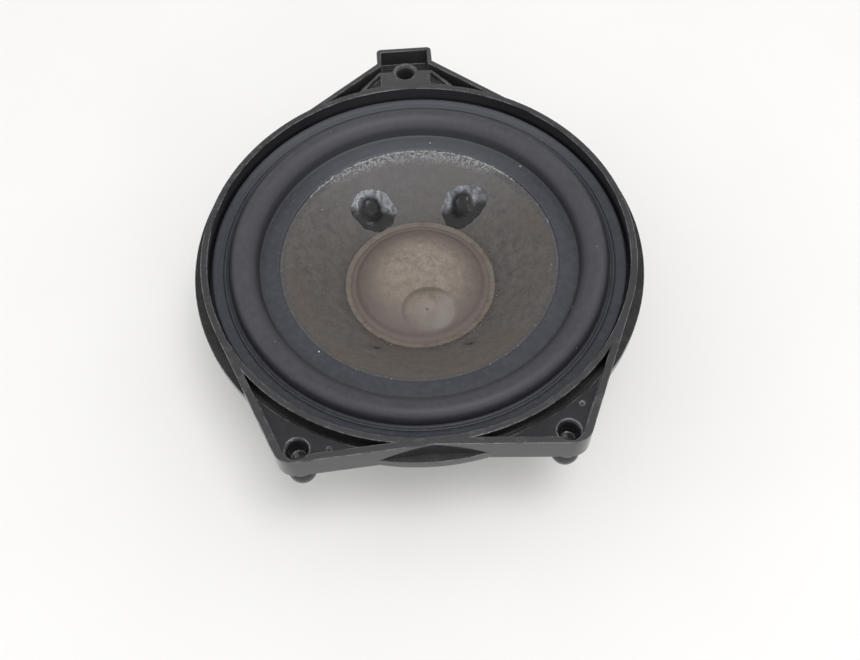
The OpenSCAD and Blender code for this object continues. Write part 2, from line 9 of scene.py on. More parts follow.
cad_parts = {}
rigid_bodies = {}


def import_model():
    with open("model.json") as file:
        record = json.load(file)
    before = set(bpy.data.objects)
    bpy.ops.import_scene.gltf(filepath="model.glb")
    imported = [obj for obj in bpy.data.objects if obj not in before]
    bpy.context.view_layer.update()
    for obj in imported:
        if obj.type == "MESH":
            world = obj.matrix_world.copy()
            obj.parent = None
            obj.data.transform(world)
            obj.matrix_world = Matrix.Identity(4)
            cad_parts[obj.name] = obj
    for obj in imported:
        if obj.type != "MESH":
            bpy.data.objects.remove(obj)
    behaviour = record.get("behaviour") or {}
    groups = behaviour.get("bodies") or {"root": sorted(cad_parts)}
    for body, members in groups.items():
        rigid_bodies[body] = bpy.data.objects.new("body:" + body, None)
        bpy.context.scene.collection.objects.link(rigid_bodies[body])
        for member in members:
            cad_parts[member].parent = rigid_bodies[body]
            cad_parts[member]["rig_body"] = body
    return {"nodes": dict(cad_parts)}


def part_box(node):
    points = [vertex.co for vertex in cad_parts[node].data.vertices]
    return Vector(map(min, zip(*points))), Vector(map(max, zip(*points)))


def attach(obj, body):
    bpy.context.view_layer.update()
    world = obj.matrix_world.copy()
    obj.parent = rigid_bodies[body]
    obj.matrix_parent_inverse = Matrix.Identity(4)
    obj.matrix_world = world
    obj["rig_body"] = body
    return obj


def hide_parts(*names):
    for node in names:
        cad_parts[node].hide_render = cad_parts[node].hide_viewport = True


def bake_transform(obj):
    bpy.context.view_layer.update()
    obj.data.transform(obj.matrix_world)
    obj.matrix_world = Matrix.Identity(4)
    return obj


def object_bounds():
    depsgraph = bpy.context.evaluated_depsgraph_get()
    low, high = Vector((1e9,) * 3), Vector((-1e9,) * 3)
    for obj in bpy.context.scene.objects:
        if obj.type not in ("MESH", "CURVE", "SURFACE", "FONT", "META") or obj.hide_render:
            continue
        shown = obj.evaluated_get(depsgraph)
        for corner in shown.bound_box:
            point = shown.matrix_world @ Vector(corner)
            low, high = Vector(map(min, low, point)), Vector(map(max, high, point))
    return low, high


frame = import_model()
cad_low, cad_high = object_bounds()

scene = bpy.context.scene
scene.view_settings.view_transform = "Standard"


# ---------- camera ----------
# The woofer lies face up, and the camera looks down on it from the front, nearly square to
# the single ear. The face is a little low in the view, and the view is rolled to the right.
CAMERA_DISTANCE = 0.3718
CAMERA_ELEVATION = math.radians(55.1)
CAMERA_TURN = math.radians(-1.4)
CAMERA_PAN = math.radians(-0.43)
CAMERA_TILT = math.radians(-4.37)
CAMERA_ROLL = math.radians(-2.66)
FACE_HEIGHT = 0.060


def placed(name, data):
    """A new object of the scene that shows a mesh, a lamp or a camera."""
    made = bpy.data.objects.new(name, data)
    scene.collection.objects.link(made)
    return made


lens = bpy.data.cameras.new("camera")
lens.sensor_width = 36
lens.lens = 41.86
lens.clip_start = 0.01
lens.clip_end = 20
camera = placed("camera", lens)
back_from_face = Vector((0, -math.cos(CAMERA_ELEVATION), math.sin(CAMERA_ELEVATION)))
camera.matrix_world = (
    Matrix.Rotation(CAMERA_TURN, 4, "Z")
    @ Matrix.Translation(Vector((0, 0, FACE_HEIGHT)) + back_from_face * CAMERA_DISTANCE)
    @ Matrix.Rotation(math.radians(90) - CAMERA_ELEVATION, 4, "X")
    @ Matrix.Rotation(CAMERA_PAN, 4, "Y")
    @ Matrix.Rotation(CAMERA_TILT, 4, "X")
    @ Matrix.Rotation(CAMERA_ROLL, 4, "Z")
)
scene.camera = camera


# ---------- studio ----------
# A wide matt table top, a plain white room whose ceiling is dimmer at the back, a soft lamp
# overhead that keeps the shadow close under the woofer, and two small weak lamps at its left
# and its front that glint on rounded edges.
MM = 0.001


def worked_out(operation, swapped=False):
    """An arithmetic operator of Socket that adds the Math node for it."""

    def operator(self, other):
        pair = (other, self) if swapped else (self, other)
        return self.math(operation, *pair)

    return operator


class Socket:
    """One output of a node. Sums, products and powers of it add the Math nodes that work them out."""

    def __init__(self, tree, output):
        self.tree = tree
        self.output = output

    def node(self, kind, settings=None, inputs=None, output=0):
        """Adds any other node to the same tree: its settings first, then what goes into its sockets."""
        made = self.tree.nodes.new(kind)
        for name, value in (settings or {}).items():
            setattr(made, name, value)
        for name, value in (inputs or {}).items():
            socket = find_socket(made.inputs, name)
            if isinstance(value, Socket):
                self.tree.links.new(value.output, socket)
            else:
                socket.default_value = value
        return Socket(self.tree, find_socket(made.outputs, output))

    def math(self, operation, *values):
        return self.node("ShaderNodeMath", {"operation": operation}, dict(enumerate(values)))

    def axis(self, name):
        """X, Y or Z of a vector."""
        return self.node("ShaderNodeSeparateXYZ", {}, {0: self}, name)

    def ramp(self, start, end):
        """0 before start, 1 after end, and smooth between them."""
        return self.node(
            "ShaderNodeMapRange",
            {"interpolation_type": "SMOOTHSTEP"},
            {"Value": self, "From Min": start, "From Max": end},
        )

    def __abs__(self):
        return self.math("ABSOLUTE", self)

    __add__ = worked_out("ADD")
    __radd__ = worked_out("ADD")
    __mul__ = worked_out("MULTIPLY")
    __rmul__ = worked_out("MULTIPLY")
    __pow__ = worked_out("POWER")
    __sub__ = worked_out("SUBTRACT")
    __rsub__ = worked_out("SUBTRACT", swapped=True)
    __truediv__ = worked_out("DIVIDE")
    __rtruediv__ = worked_out("DIVIDE", swapped=True)


def find_socket(sockets, name):
    """A socket by its number, its identifier or its name."""
    if isinstance(name, int):
        return sockets[name]
    for socket in sockets:
        if name in (socket.identifier, socket.name):
            return socket
    raise KeyError(name)


class Finish:
    """A material in the making, with the patterns that its colour, gloss and relief are made of."""

    def __init__(self, name):
        self.material = bpy.data.materials.new(name)
        self.material.use_nodes = True
        tree = self.material.node_tree
        self.shader = next(n for n in tree.nodes if n.type == "BSDF_PRINCIPLED")
        metres = Socket(tree, tree.nodes.new("ShaderNodeTexCoord").outputs["Object"])
        self.place = metres.node(
            "ShaderNodeVectorMath", {"operation": "SCALE"}, {0: metres, "Scale": 1 / MM}
        )
        self.facing = metres.node("ShaderNodeNewGeometry", output="Normal")

    def noise(self, size, detail=2.0, roughness=0.5, stretch=(1, 1, 1), distortion=0.0):
        """Cloudy pattern from 0 to 1 whose clouds are about size millimetres across."""
        where = self.place.node(
            "ShaderNodeVectorMath", {"operation": "MULTIPLY"}, {0: self.place, 1: stretch}
        )
        return where.node(
            "ShaderNodeTexNoise",
            {},
            {"Vector": where, "Scale": 1 / size, "Detail": detail,
             "Roughness": roughness, "Distortion": distortion},
        )

    def grains(self, size):
        """Cells about size millimetres across: the distance to the middle of each."""
        inputs = {"Vector": self.place, "Scale": 1 / size}
        return self.place.node("ShaderNodeTexVoronoi", {}, inputs, "Distance")

    def lots(self, size):
        """A random number from 0 to 1 for each of those cells."""
        inputs = {"Vector": self.place, "Scale": 1 / size}
        drawn = self.place.node("ShaderNodeTexVoronoi", {}, inputs, "Color")
        return drawn.node("ShaderNodeSeparateColor", {}, {0: drawn}, "Red")

    def part(self, axis):
        """X, Y or Z of the place on the piece, in millimetres."""
        return self.place.axis(axis)

    def away(self, spot, stretch=1.0):
        """Distance from a spot seen from above, in millimetres, Y counting stretch times."""
        x = self.part("X") - spot[0]
        y = (self.part("Y") - spot[1]) * stretch
        return (x * x + y * y) ** 0.5

    def radius(self):
        """Distance from the woofer's axis, in millimetres."""
        return self.away((0, 0))

    def upward(self, start=0.75, end=0.98):
        """1 where the surface faces up, where dust settles."""
        return self.facing.axis("Z").ramp(start, end)

    def mix(self, factor, first, second):
        """One colour over another."""
        inputs = {"Factor_Float": factor, "A_Color": first, "B_Color": second}
        for name in ("A_Color", "B_Color"):
            if not isinstance(inputs[name], Socket):
                inputs[name] = (*inputs[name], 1)
        return self.place.node("ShaderNodeMix", {"data_type": "RGBA"}, inputs, "Result_Color")

    def specks(self, spacing, size, share):
        """1 in scattered specks: one to a cell, smaller than the cell, in this share of cells."""
        chosen = self.lots(spacing)
        inside = 1 - self.grains(spacing).ramp(size / spacing * 0.6, size / spacing)
        return inside * chosen.math("GREATER_THAN", chosen, 1 - share)

    def relief(self, *layers):
        """Bump from (height, strength, depth in millimetres) layers, laid one on the other."""
        normal = None
        for height, strength, depth in layers:
            inputs = {"Height": height, "Strength": strength, "Distance": depth * MM}
            if normal is not None:
                inputs["Normal"] = normal
            normal = height.node("ShaderNodeBump", {}, inputs)
        return normal

    def shade(self, **sockets):
        """Feeds the shader: patterns as links, fixed numbers and colours straight on its sockets."""
        for name, value in sockets.items():
            socket = self.shader.inputs[name.replace("_", " ").title().replace("Ior", "IOR")]
            if isinstance(value, Socket):
                self.material.node_tree.links.new(value.output, socket)
            elif isinstance(value, tuple):
                socket.default_value = (*value, 1)
            else:
                socket.default_value = value
        return self.material


def new_piece(name, points, faces, material):
    """A smooth-shaded mesh object at the origin, its points in metres."""
    mesh = bpy.data.meshes.new(name)
    mesh.from_pydata([tuple(p) for p in points], [], [tuple(f) for f in faces])
    mesh.materials.append(material)
    mesh.polygons.foreach_set("use_smooth", [True] * len(mesh.polygons))
    mesh.update()
    return placed(name, mesh)


def table_finish():
    made = Finish("table_top")
    tone = made.noise(60, 3)
    colour = made.mix(tone, (0.90, 0.895, 0.89), (0.93, 0.93, 0.93))
    return made.shade(base_color=colour, roughness=0.75, specular_ior_level=0.2)


TABLE_R = 3.0
around = [math.radians(a) for a in range(0, 360, 6)]
table = new_piece(
    "table_top",
    [(TABLE_R * math.cos(a), TABLE_R * math.sin(a), 0) for a in around],
    [range(len(around))],
    table_finish(),
)

room = bpy.data.worlds.new("room")
room.use_nodes = True
sky = room.node_tree.nodes["Background"]
ROOM_LIGHT = 0.84
ROOM_DIMMED = 0.64
outwards = room.node_tree.nodes.new("ShaderNodeTexCoord").outputs["Generated"]
direction = Socket(room.node_tree, outwards)
back = direction.axis("Y").ramp(0.25, 0.55)
high = direction.axis("Z").ramp(0.55, 0.8)
level = ROOM_LIGHT - ROOM_DIMMED * back * high
room.node_tree.links.new(level.output, sky.inputs["Strength"])
sky.inputs["Color"].default_value = (1.0, 0.995, 0.985, 1)
scene.world = room


def soft_lamp(name, place, size, power, colour):
    """A square soft lamp that points at the woofer's face."""
    lamp = bpy.data.lights.new(name, "AREA")
    lamp.size = size
    lamp.energy = power
    lamp.color = colour
    aim = Vector((0, 0, FACE_HEIGHT)) - Vector(place)
    turned = aim.to_track_quat("-Z", "Y").to_matrix().to_4x4()
    placed(name, lamp).matrix_world = Matrix.Translation(place) @ turned


soft_lamp("ceiling_lamp", (0.22, -0.30, 1.35), 0.5, 6.0, (1.0, 0.99, 0.975))
soft_lamp("side_lamp", (-1.2, -0.1, 0.7), 0.22, 0.8, (0.96, 0.98, 1.0))
soft_lamp("front_lamp", (0.5, -1.1, 0.7), 0.16, 0.8, (1.0, 1.0, 1.0))


# ---------- mounting frame ----------
# The rim, the two lower ears and the upper ear are one injection moulding in glossy black
# plastic. Its edges are slightly rounded by the mould and painted pale in patches as a painted
# highlight, its rim's top is scuffed and painted paler as a painted reflection, and a little dust
# lies on what faces up.
JOIN = 0.002 * MM
SLIVER = 0.03 * MM
SMOOTH_BEND = math.radians(40)


def moulded_plastic(name, colour, gloss, dust, scuff_and_reflection_from=None):
    """Black moulded plastic: flow marks, grain, rubbed patches, dust on top, lighter towards the top
    ear, and above a given height a scuffed top painted paler as a painted reflection.
    """
    made = Finish(name)
    flow = made.noise(14, 3)
    grain = made.noise(0.35, 2)
    rubbed = made.noise(5, 4, 0.65).ramp(0.52, 0.72)
    settled = made.upward() * made.noise(3, 5, 0.7).ramp(0.25, 0.8) * dust
    base = made.mix(flow, colour, tuple(c * 1.35 for c in colour))
    # lighter towards the top ear
    lighter_to_top_ear = (made.part("Y") + 8 * flow).ramp(66, 92)
    base = made.mix(lighter_to_top_ear * 0.8, base, (0.046, 0.044, 0.047))
    dusty = made.mix(settled, base, (0.21, 0.205, 0.215))
    speckled = made.mix(made.specks(1.6, 0.16, 0.1) * made.upward(), dusty, (0.42, 0.41, 0.42))
    roughness = gloss + 0.12 * rubbed + 0.25 * settled + 0.05 * flow
    if scuff_and_reflection_from is not None:
        # above that height, what faces up is painted paler as a painted reflection of the bright room,
        # and scuffed
        height = made.part("Z")
        scuffs_and_painted_reflection = height.ramp(scuff_and_reflection_from, scuff_and_reflection_from + 0.3) * made.upward(0.5, 0.95)
        scuffs_and_painted_reflection = scuffs_and_painted_reflection * (0.55 + 0.45 * rubbed)
        speckled = made.mix(scuffs_and_painted_reflection, speckled, (0.062, 0.062, 0.066))
        roughness = roughness + 0.22 * scuffs_and_painted_reflection
    normal = made.relief((flow, 0.15, 0.4), (grain, 0.12, 0.02))
    return made.shade(base_color=speckled, roughness=roughness, normal=normal, ior=1.54)


def outward(mesh):
    """Closes a mesh's seams and turns its faces outwards."""
    work = bmesh.new()
    work.from_mesh(mesh)
    bmesh.ops.remove_doubles(work, verts=work.verts, dist=JOIN)
    bmesh.ops.recalc_face_normals(work, faces=work.faces)
    work.to_mesh(mesh)
    work.free()
    mesh.polygons.foreach_set("use_smooth", [True] * len(mesh.polygons))


def round_edges(piece, bevel, segments, harden):
    """Rounds a piece's edges by bevel millimetres."""
    edges = piece.modifiers.new("edges", "BEVEL")
    edges.width = bevel * MM
    edges.segments = segments
    edges.limit_method = "ANGLE"
    edges.angle_limit = SMOOTH_BEND
    edges.harden_normals = harden
    return edges


def edge_highlight_finish(name):
    """Rounded edges painted pale in patches as a painted highlight, glossy, with nicks."""
    made = Finish(name)
    pale_mask = made.noise(7, 4, 0.65).ramp(0.36, 0.6)
    nicks = made.noise(0.9, 3, 0.7).ramp(0.4, 0.7)
    # painted highlight: the rounded edges are painted pale in patches
    colour = made.mix(pale_mask * (0.5 + 0.5 * nicks), (0.022, 0.022, 0.024), (0.17, 0.17, 0.178))
    normal = made.relief((nicks, 0.2, 0.05))
    return made.shade(base_color=colour, roughness=0.16 + 0.1 * nicks, normal=normal)


def moulding(node, name, material, edge, bevel, segments):
    """A CAD node's shape with its flat faces made whole again and its edges rounded."""
    mesh = bpy.data.meshes.new(name)
    work = bmesh.new()
    work.from_mesh(frame["nodes"][node].data)
    bmesh.ops.remove_doubles(work, verts=work.verts, dist=SLIVER)
    bmesh.ops.dissolve_degenerate(work, dist=SLIVER, edges=work.edges)
    bmesh.ops.dissolve_limit(
        work, angle_limit=math.radians(0.4), verts=work.verts, edges=work.edges
    )
    work.to_mesh(mesh)
    work.free()
    mesh.materials.clear()
    for finish in (material, edge):
        mesh.materials.append(finish)
    mesh.polygons.foreach_set("material_index", [0] * len(mesh.polygons))
    mesh.polygons.foreach_set("use_smooth", [True] * len(mesh.polygons))
    piece = placed(name, mesh)
    edges = round_edges(piece, bevel, segments, harden=False)
    edges.use_clamp_overlap = False
    # the rounded edges get the second material, the painted edge highlight
    edges.material = 1
    even = piece.modifiers.new("even", "WEIGHTED_NORMAL")
    even.weight = 100
    even.keep_sharp = True
    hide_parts(node)
    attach(piece, frame["nodes"][node]["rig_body"])
    return piece


frame_plastic = moulded_plastic(
    "frame_plastic", (0.014, 0.0135, 0.016), 0.08, 0.04, cad_high.z / MM - 0.6
)
painted_edge_highlight = edge_highlight_finish("painted_edge_highlight")
frame_moulding = moulding("mounting_frame", "frame_moulding", frame_plastic, painted_edge_highlight, 0.3, 2)


# ---------- basket ----------
# The basket is moulded in duller black glass-filled plastic. Its flange lies under the frame,
# and six spokes run down from it to the seat of the spider, over the motor.
basket_plastic = moulded_plastic("basket_plastic", (0.018, 0.018, 0.0175), 0.16, 0.10)
basket_moulding = moulding("basket", "basket_moulding", basket_plastic, painted_edge_highlight, 0.25, 2)


# ---------- ball studs ----------
# Three glossy plastic balls are pressed up into the ears' bosses on plain shanks, and snap into
# rubber grommets in the door.
def dress(node, material, bevel, segments=2):
    """Gives a CAD node its material and rounds its edges by bevel millimetres."""
    piece = frame["nodes"][node]
    piece.data.materials.clear()
    piece.data.materials.append(material)
    weld = piece.modifiers.new("weld", "WELD")
    weld.merge_threshold = JOIN
    round_edges(piece, bevel, segments, harden=True)


stud_plastic = moulded_plastic("stud_plastic", (0.016, 0.016, 0.018), 0.08, 0.1)
for side in ("left", "right", "top"):
    dress("ball_stud_" + side, stud_plastic, 0.15)


# ---------- foam gasket ----------
# A ring die-cut from closed-cell foam is stuck under the flange. Its cut edges bulge a little
# and its skin is pitted where cells were opened.
def spun_piece(name, outline, steps, material, shape):
    """A closed outline of (radius, height) spun round the axis, its height shaped over x and y."""
    radius, height = np.array(outline, float).T
    count = len(radius)
    angle = np.linspace(0, 2 * math.pi, steps, endpoint=False)[:, None]
    radius = np.repeat(radius[None, :], steps, 0)
    height = np.repeat(height[None, :], steps, 0)
    x = radius * np.cos(angle)
    y = radius * np.sin(angle)
    points = np.stack((x, y, height + shape(x, y)), -1).reshape(-1, 3) * MM
    here = np.arange(steps)[:, None] * count + np.arange(count)[None, :]
    up = np.roll(here, -1, 1)
    on = np.roll(here, -1, 0)
    faces = np.stack((here, up, np.roll(on, -1, 1), on), -1).reshape(-1, 4)
    piece = new_piece(name, points.tolist(), faces.tolist(), material)
    outward(piece.data)
    return piece


def cloud(x, y, size, offset=0.0):
    """Smooth random heights from -1 to 1 over a surface, in clouds size millimetres across."""
    flat = zip(x.ravel() / size, y.ravel() / size)
    values = [noise.noise(Vector((a, b, offset))) for a, b in flat]
    return np.array(values).reshape(x.shape)


def foam_finish():
    made = Finish("gasket_foam")
    cells = made.grains(0.45)
    tone = made.noise(4, 3)
    colour = made.mix(tone, (0.030, 0.030, 0.032), (0.055, 0.055, 0.058))
    # painted shade: the opened cells are darker in their pits
    painted_shade_pits = made.mix(cells.ramp(0.0, 0.25), (0.012, 0.012, 0.013), colour)
    normal = made.relief((cells, 0.6, 0.2), (tone, 0.3, 0.3))
    return made.shade(base_color=painted_shade_pits, roughness=0.92 - 0.1 * tone, normal=normal)


def rounded_box(inner, outer, bottom, top, corner, steps=4):
    """Outline of a ring's section with round corners."""
    outline = []
    for turn, (r, z) in enumerate(
        ((outer - corner, top - corner), (inner + corner, top - corner),
         (inner + corner, bottom + corner), (outer - corner, bottom + corner))
    ):
        for k in range(steps + 1):
            a = math.radians(90 * (turn + k / steps))
            outline.append((r + corner * math.cos(a), z + corner * math.sin(a)))
    return outline


GASKET_W = 7
GASKET_CORNER = 0.5
gasket_low, gasket_high = (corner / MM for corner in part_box("flange_gasket"))
gasket_out = gasket_high.x
gasket = spun_piece(
    "foam_gasket",
    rounded_box(
        gasket_out - GASKET_W, gasket_out, gasket_low.z, gasket_high.z, GASKET_CORNER
    ),
    180,
    foam_finish(),
    lambda x, y: 0.05 * cloud(x, y, 9),
)
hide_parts("flange_gasket")
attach(gasket, "root")


# ---------- surround ----------
# The half-roll is pressed in one with its two lips from black nitrile rubber. The outer lip is
# glued into the frame, with two fine rings moulded in it, and the inner lip on the cone's rim.
ROLL_OUT = 70.0
ROLL_IN = 59.3
LIP_IN = 51.9
ROLL_MIDDLE = (ROLL_OUT + ROLL_IN) / 2
ROLL_HALF_W = (ROLL_OUT - ROLL_IN) / 2
ROLL_H = 5.9
RUBBER_T = 0.8
GLUE_T = 0.4
lip_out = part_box("surround")[1].x / MM
flange_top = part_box("basket")[1].z / MM
cone_rim_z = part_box("cone")[1].z / MM


def rubber_finish():
    made = Finish("surround_rubber")
    tone = made.noise(9, 4, 0.6)
    bloom = made.noise(2.2, 5, 0.65).ramp(0.35, 0.8)
    grain = made.noise(0.25, 2)
    colour = made.mix(tone, (0.036, 0.037, 0.047), (0.050, 0.051, 0.063))
    off_middle = abs(made.radius() - ROLL_MIDDLE)
    lips = off_middle.ramp(4.6, 6.2)
    colour = made.mix(lips * 0.6, colour, (0.030, 0.036, 0.051))
    # painted shade: darker lines in the creases at both feet of the roll
    painted_shade_feet = 1 - abs(off_middle - ROLL_HALF_W + 0.15).ramp(0.2, 1.5)
    colour = made.mix(painted_shade_feet * 0.6, colour, (0.014, 0.014, 0.018))
    # painted light: the lips are lighter towards the far side
    far = (made.part("Y") + 10 * tone).ramp(30, 66)
    colour = made.mix(far * lips * 0.7, colour, (0.085, 0.092, 0.106))
    # painted shade: the rubber is darker towards the front
    front = (0 - made.part("Y") + 10 * tone).ramp(20, 60)
    colour = made.mix(front * 0.35, colour, (0.022, 0.022, 0.028))
    dull = made.mix(bloom * made.upward(0.3, 1.0) * 0.3, colour, (0.10, 0.10, 0.112))
    pale_mask = made.specks(2.6, 0.2, 0.12) * made.noise(12, 2).ramp(0.4, 0.6)
    dusty = made.mix(pale_mask * made.upward(0.2, 0.6), dull, (0.42, 0.43, 0.44))
    lint = made.specks(9, 0.35, 0.35) * made.upward(0.2, 0.6)
    speckled = made.mix(lint, dusty, (0.6, 0.6, 0.6))
    roughness = 0.44 + 0.16 * bloom + 0.08 * tone
    normal = made.relief((tone, 0.12, 0.5), (grain, 0.10, 0.02), (bloom, 0.1, 0.05))
    return made.shade(base_color=speckled, roughness=roughness, normal=normal)


def half_roll(half_width, height, outer_z, inner_z, steps=40):
    """Arc of the roll's section from its outer foot to its inner foot."""
    arc = []
    for a in np.linspace(0, math.pi, steps + 1):
        foot = outer_z + (inner_z - outer_z) * (1 - math.cos(a)) / 2
        arc.append((ROLL_MIDDLE + half_width * math.cos(a), foot + height * math.sin(a)))
    return arc


def ring_groove(middle, level, depth, width, steps=8):
    """A fine moulded groove in a level lip, from its outer side to its inner side."""
    return [
        (middle + width * (0.5 - t), level - depth * math.sin(math.pi * t) ** 2)
        for t in np.linspace(0, 1, steps + 1)
    ]


lip_top = flange_top + RUBBER_T + GLUE_T
inner_top = cone_rim_z + RUBBER_T


def beside(radius, level, *steps):
    """Points of an outline, each given by how far it is from a radius and from a level."""
    return [(radius + out, level + up) for out, up in steps]


section = [(lip_out, flange_top)]
section += beside(
    lip_out, lip_top, (0, 0.35), (-0.2, 0.6), (-0.7, 0.7), (-1.6, 0.45), (-2.4, 0.15)
)
section += beside(ROLL_OUT, lip_top, (3.2, 0.03))
section += ring_groove(ROLL_OUT + 2.2, lip_top, 0.45, 0.5)
section += beside(ROLL_OUT, lip_top, (1.7, 0.05))
section += ring_groove(ROLL_OUT + 1.1, lip_top + 0.05, 0.25, 0.4)
section += half_roll(ROLL_HALF_W, ROLL_H, lip_top, inner_top)
section += beside(ROLL_IN, inner_top, (-0.7, -0.12), (-1.4, -0.02), (-3.5, 0))
section += beside(LIP_IN, inner_top, (1.1, 0), (0.45, -0.05), (0.1, -0.3))
section += beside(LIP_IN, cone_rim_z, (0, 0.2), (0, 0))
section += half_roll(ROLL_HALF_W - RUBBER_T, ROLL_H - RUBBER_T, flange_top, cone_rim_z)[::-1]
surround = spun_piece(
    "half_roll_surround",
    section,
    256,
    rubber_finish(),
    lambda x, y: 0.05 * cloud(x, y, 16) * np.clip((np.hypot(x, y) - 52) / 8, 0, 1),
)


def flex(piece):
    """Bakes a piece's placement into its mesh."""
    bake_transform(piece)


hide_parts("surround")
flex(surround)


# ---------- cone ----------
# The cone is felted from paper pulp, pressed to a straight slope with a flat rim, and coated
# dark. Its coating is mottled and stained, and the tool left two small pits near the front.
CONE_SLOPE = math.tan(math.radians(36.7))
NECK_R = 16.2
CONE_EDGE = 51.2
PAPER_T = 0.6
FLAT_FROM = 51.0
FADE_W = 3.0
PITS = ((-17.8, -29.7), (16.5, -30.9))
neck_z = cone_rim_z - (CONE_EDGE - NECK_R) * CONE_SLOPE


def cone_z(radius):
    """Height of the cone's front at a distance from the axis, in millimetres."""
    return neck_z + (radius - NECK_R) * CONE_SLOPE


def near(x, y, spot, reach):
    """1 at a spot, and next to nothing from reach millimetres away."""
    return np.exp(-(((x - spot[0]) ** 2 + (y - spot[1]) ** 2) / (0.5 * reach) ** 2))


def cone_relief(x, y):
    """Waviness of the pressed pulp, and the two pits with the hollow around each."""
    height = 0.10 * cloud(x, y, 11) + 0.05 * cloud(x, y, 2.6, 3.0)
    for spot in PITS:
        height -= 0.8 * near(x, y, spot, 1.7)
        height -= 0.25 * near(x, y, (spot[0] * 1.15, spot[1] * 0.98), 6.0)
    return height * np.clip((FLAT_FROM - np.hypot(x, y)) / FADE_W, 0, 1)


def pulp_finish(name, dark, light, stain, dust, fleck):
    """Felted paper pulp: fibres lying all ways, mottled coating, stains and settled dust."""
    made = Finish(name)
    mottle = made.noise(3.2, 6, 0.68)
    fibre_a = made.noise(0.5, 3, 0.6, (1, 0.22, 1), 1.5)
    fibre_b = made.noise(0.5, 3, 0.6, (0.22, 1, 1), 1.5)
    speck = made.noise(0.45, 2, 0.7)
    blot = made.noise(24, 3, 0.55).ramp(0.38, 0.68)
    tone = (0.45 * mottle + 0.2 * fibre_a + 0.2 * fibre_b + 0.15 * speck).ramp(0.36, 0.62)
    colour = made.mix(tone, dark, light)
    stained = made.mix(blot * 0.55, colour, stain)
    settled = made.noise(1.1, 5, 0.75).ramp(0.5, 0.78) * fleck
    dusty = made.mix(settled, stained, dust)
    normal = made.relief((mottle, 0.35, 0.35), (fibre_a + fibre_b, 0.35, 0.12), (speck, 0.3, 0.06))
    return made, dusty, normal


def cone_finish():
    made, colour, normal = pulp_finish(
        "cone_paper", (0.060, 0.055, 0.053), (0.118, 0.109, 0.104), (0.098, 0.078, 0.063),
        (0.20, 0.20, 0.205), 0.35,
    )
    radius = made.radius()
    y = made.part("Y")
    edge = made.noise(5, 3)
    near_cap = 1 - (radius + 3 * edge).ramp(29, 35)
    shade = made.mix(near_cap * 0.55, colour, (0.045, 0.044, 0.045))
    brown = (0 - y + 4 * edge).ramp(12, 46) * radius.ramp(30, 44)
    tinted = made.mix(brown * 0.4, shade, (0.115, 0.086, 0.066))
    # painted light: lighter grey towards the far side; glue smears and crumbs are laid on it below
    far = (y + 6 * edge).ramp(18, 50)
    painted_light_and_smears = made.mix(far * 0.5, tinted, (0.150, 0.150, 0.156))
    broken = made.noise(0.9, 4, 0.75)
    smear = (radius + 3.5 * made.noise(1.4, 4, 0.7)).ramp(50.6, 52.6)
    painted_light_and_smears = made.mix(smear * 0.8, painted_light_and_smears, (0.062, 0.065, 0.076))
    crusted = (radius + 5 * made.noise(2.0, 3)).ramp(50.0, 53.5)
    crusted = crusted * broken.ramp(0.46, 0.6)
    painted_light_and_smears = made.mix(crusted * 0.4, painted_light_and_smears, (0.17, 0.135, 0.108))
    band = (radius + 4 * made.noise(1.6, 4, 0.7)).ramp(49.5, 52.5)
    band = band * (y + 8 * edge).ramp(40, 48) * broken.ramp(0.42, 0.6)
    painted_light_and_smears = made.mix(band * 0.8, painted_light_and_smears, (0.34, 0.35, 0.37))
    for spot in PITS:
        away = made.away(spot, 1.6)
        # painted shade: each pit is painted near black in its middle
        painted_shade_pit = 1 - away.ramp(0.7, 1.7)
        stain = 1 - (away + 2 * edge).ramp(2, 6.5)
        painted_light_and_smears = made.mix(painted_shade_pit * 0.92, painted_light_and_smears, (0.010, 0.009, 0.009))
        painted_light_and_smears = made.mix(stain * 0.45, painted_light_and_smears, (0.045, 0.038, 0.033))
    lint = made.mix(made.specks(5, 0.22, 0.25), painted_light_and_smears, (0.5, 0.49, 0.47))
    roughness = 0.74 - 0.14 * near_cap
    return made.shade(base_color=lint, roughness=roughness, normal=normal)


rim_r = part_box("cone")[1].x / MM
drop = PAPER_T / math.cos(math.atan(CONE_SLOPE))
section = [(r, cone_z(r)) for r in np.linspace(NECK_R, CONE_EDGE, 101)]
section += [(rim_r, cone_rim_z), (rim_r, cone_rim_z - drop)]
section += [(r, cone_z(r) - drop) for r in np.linspace(CONE_EDGE, NECK_R, 41)]
paper_cone = spun_piece("paper_cone", section, 420, cone_finish(), cone_relief)
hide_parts("cone")
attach(paper_cone, "cone_assembly")


# ---------- dust cap ----------
# A dome of bare felted pulp closes the neck. Its edge is pressed to a low shoulder, and a thumb
# has pushed in one deep dent and a shallow one beside it.
CAP_R = 27.2
CAP_H = 8.0
CAP_EDGE = 0.8
CAP_WALL_T = 0.9
SHOULDER_R = 26.4
VALLEY_R = 24.9
DENT = (2.8, -15.0)
DENT_REACH = (10.3, 8.1)
DENT_DEEPEST = (2.6, -10.6)
DENT_DEPTH = 3.3
DENT_DOT = (1.8, -13.8)
# centre of the painted light in the dent's lower part
DENT_LIT_AT = (3.0, -17.0)
SECOND_DENT = (-11.5, -14.0)
CREASE_START = (-12.4, -4.3)
CREASE_RUN = (5.4, -5.9)
cap_ball = (CAP_R ** 2 + CAP_H ** 2) / (2 * CAP_H)
cap_top = cone_z(CAP_R) + CAP_EDGE + CAP_H


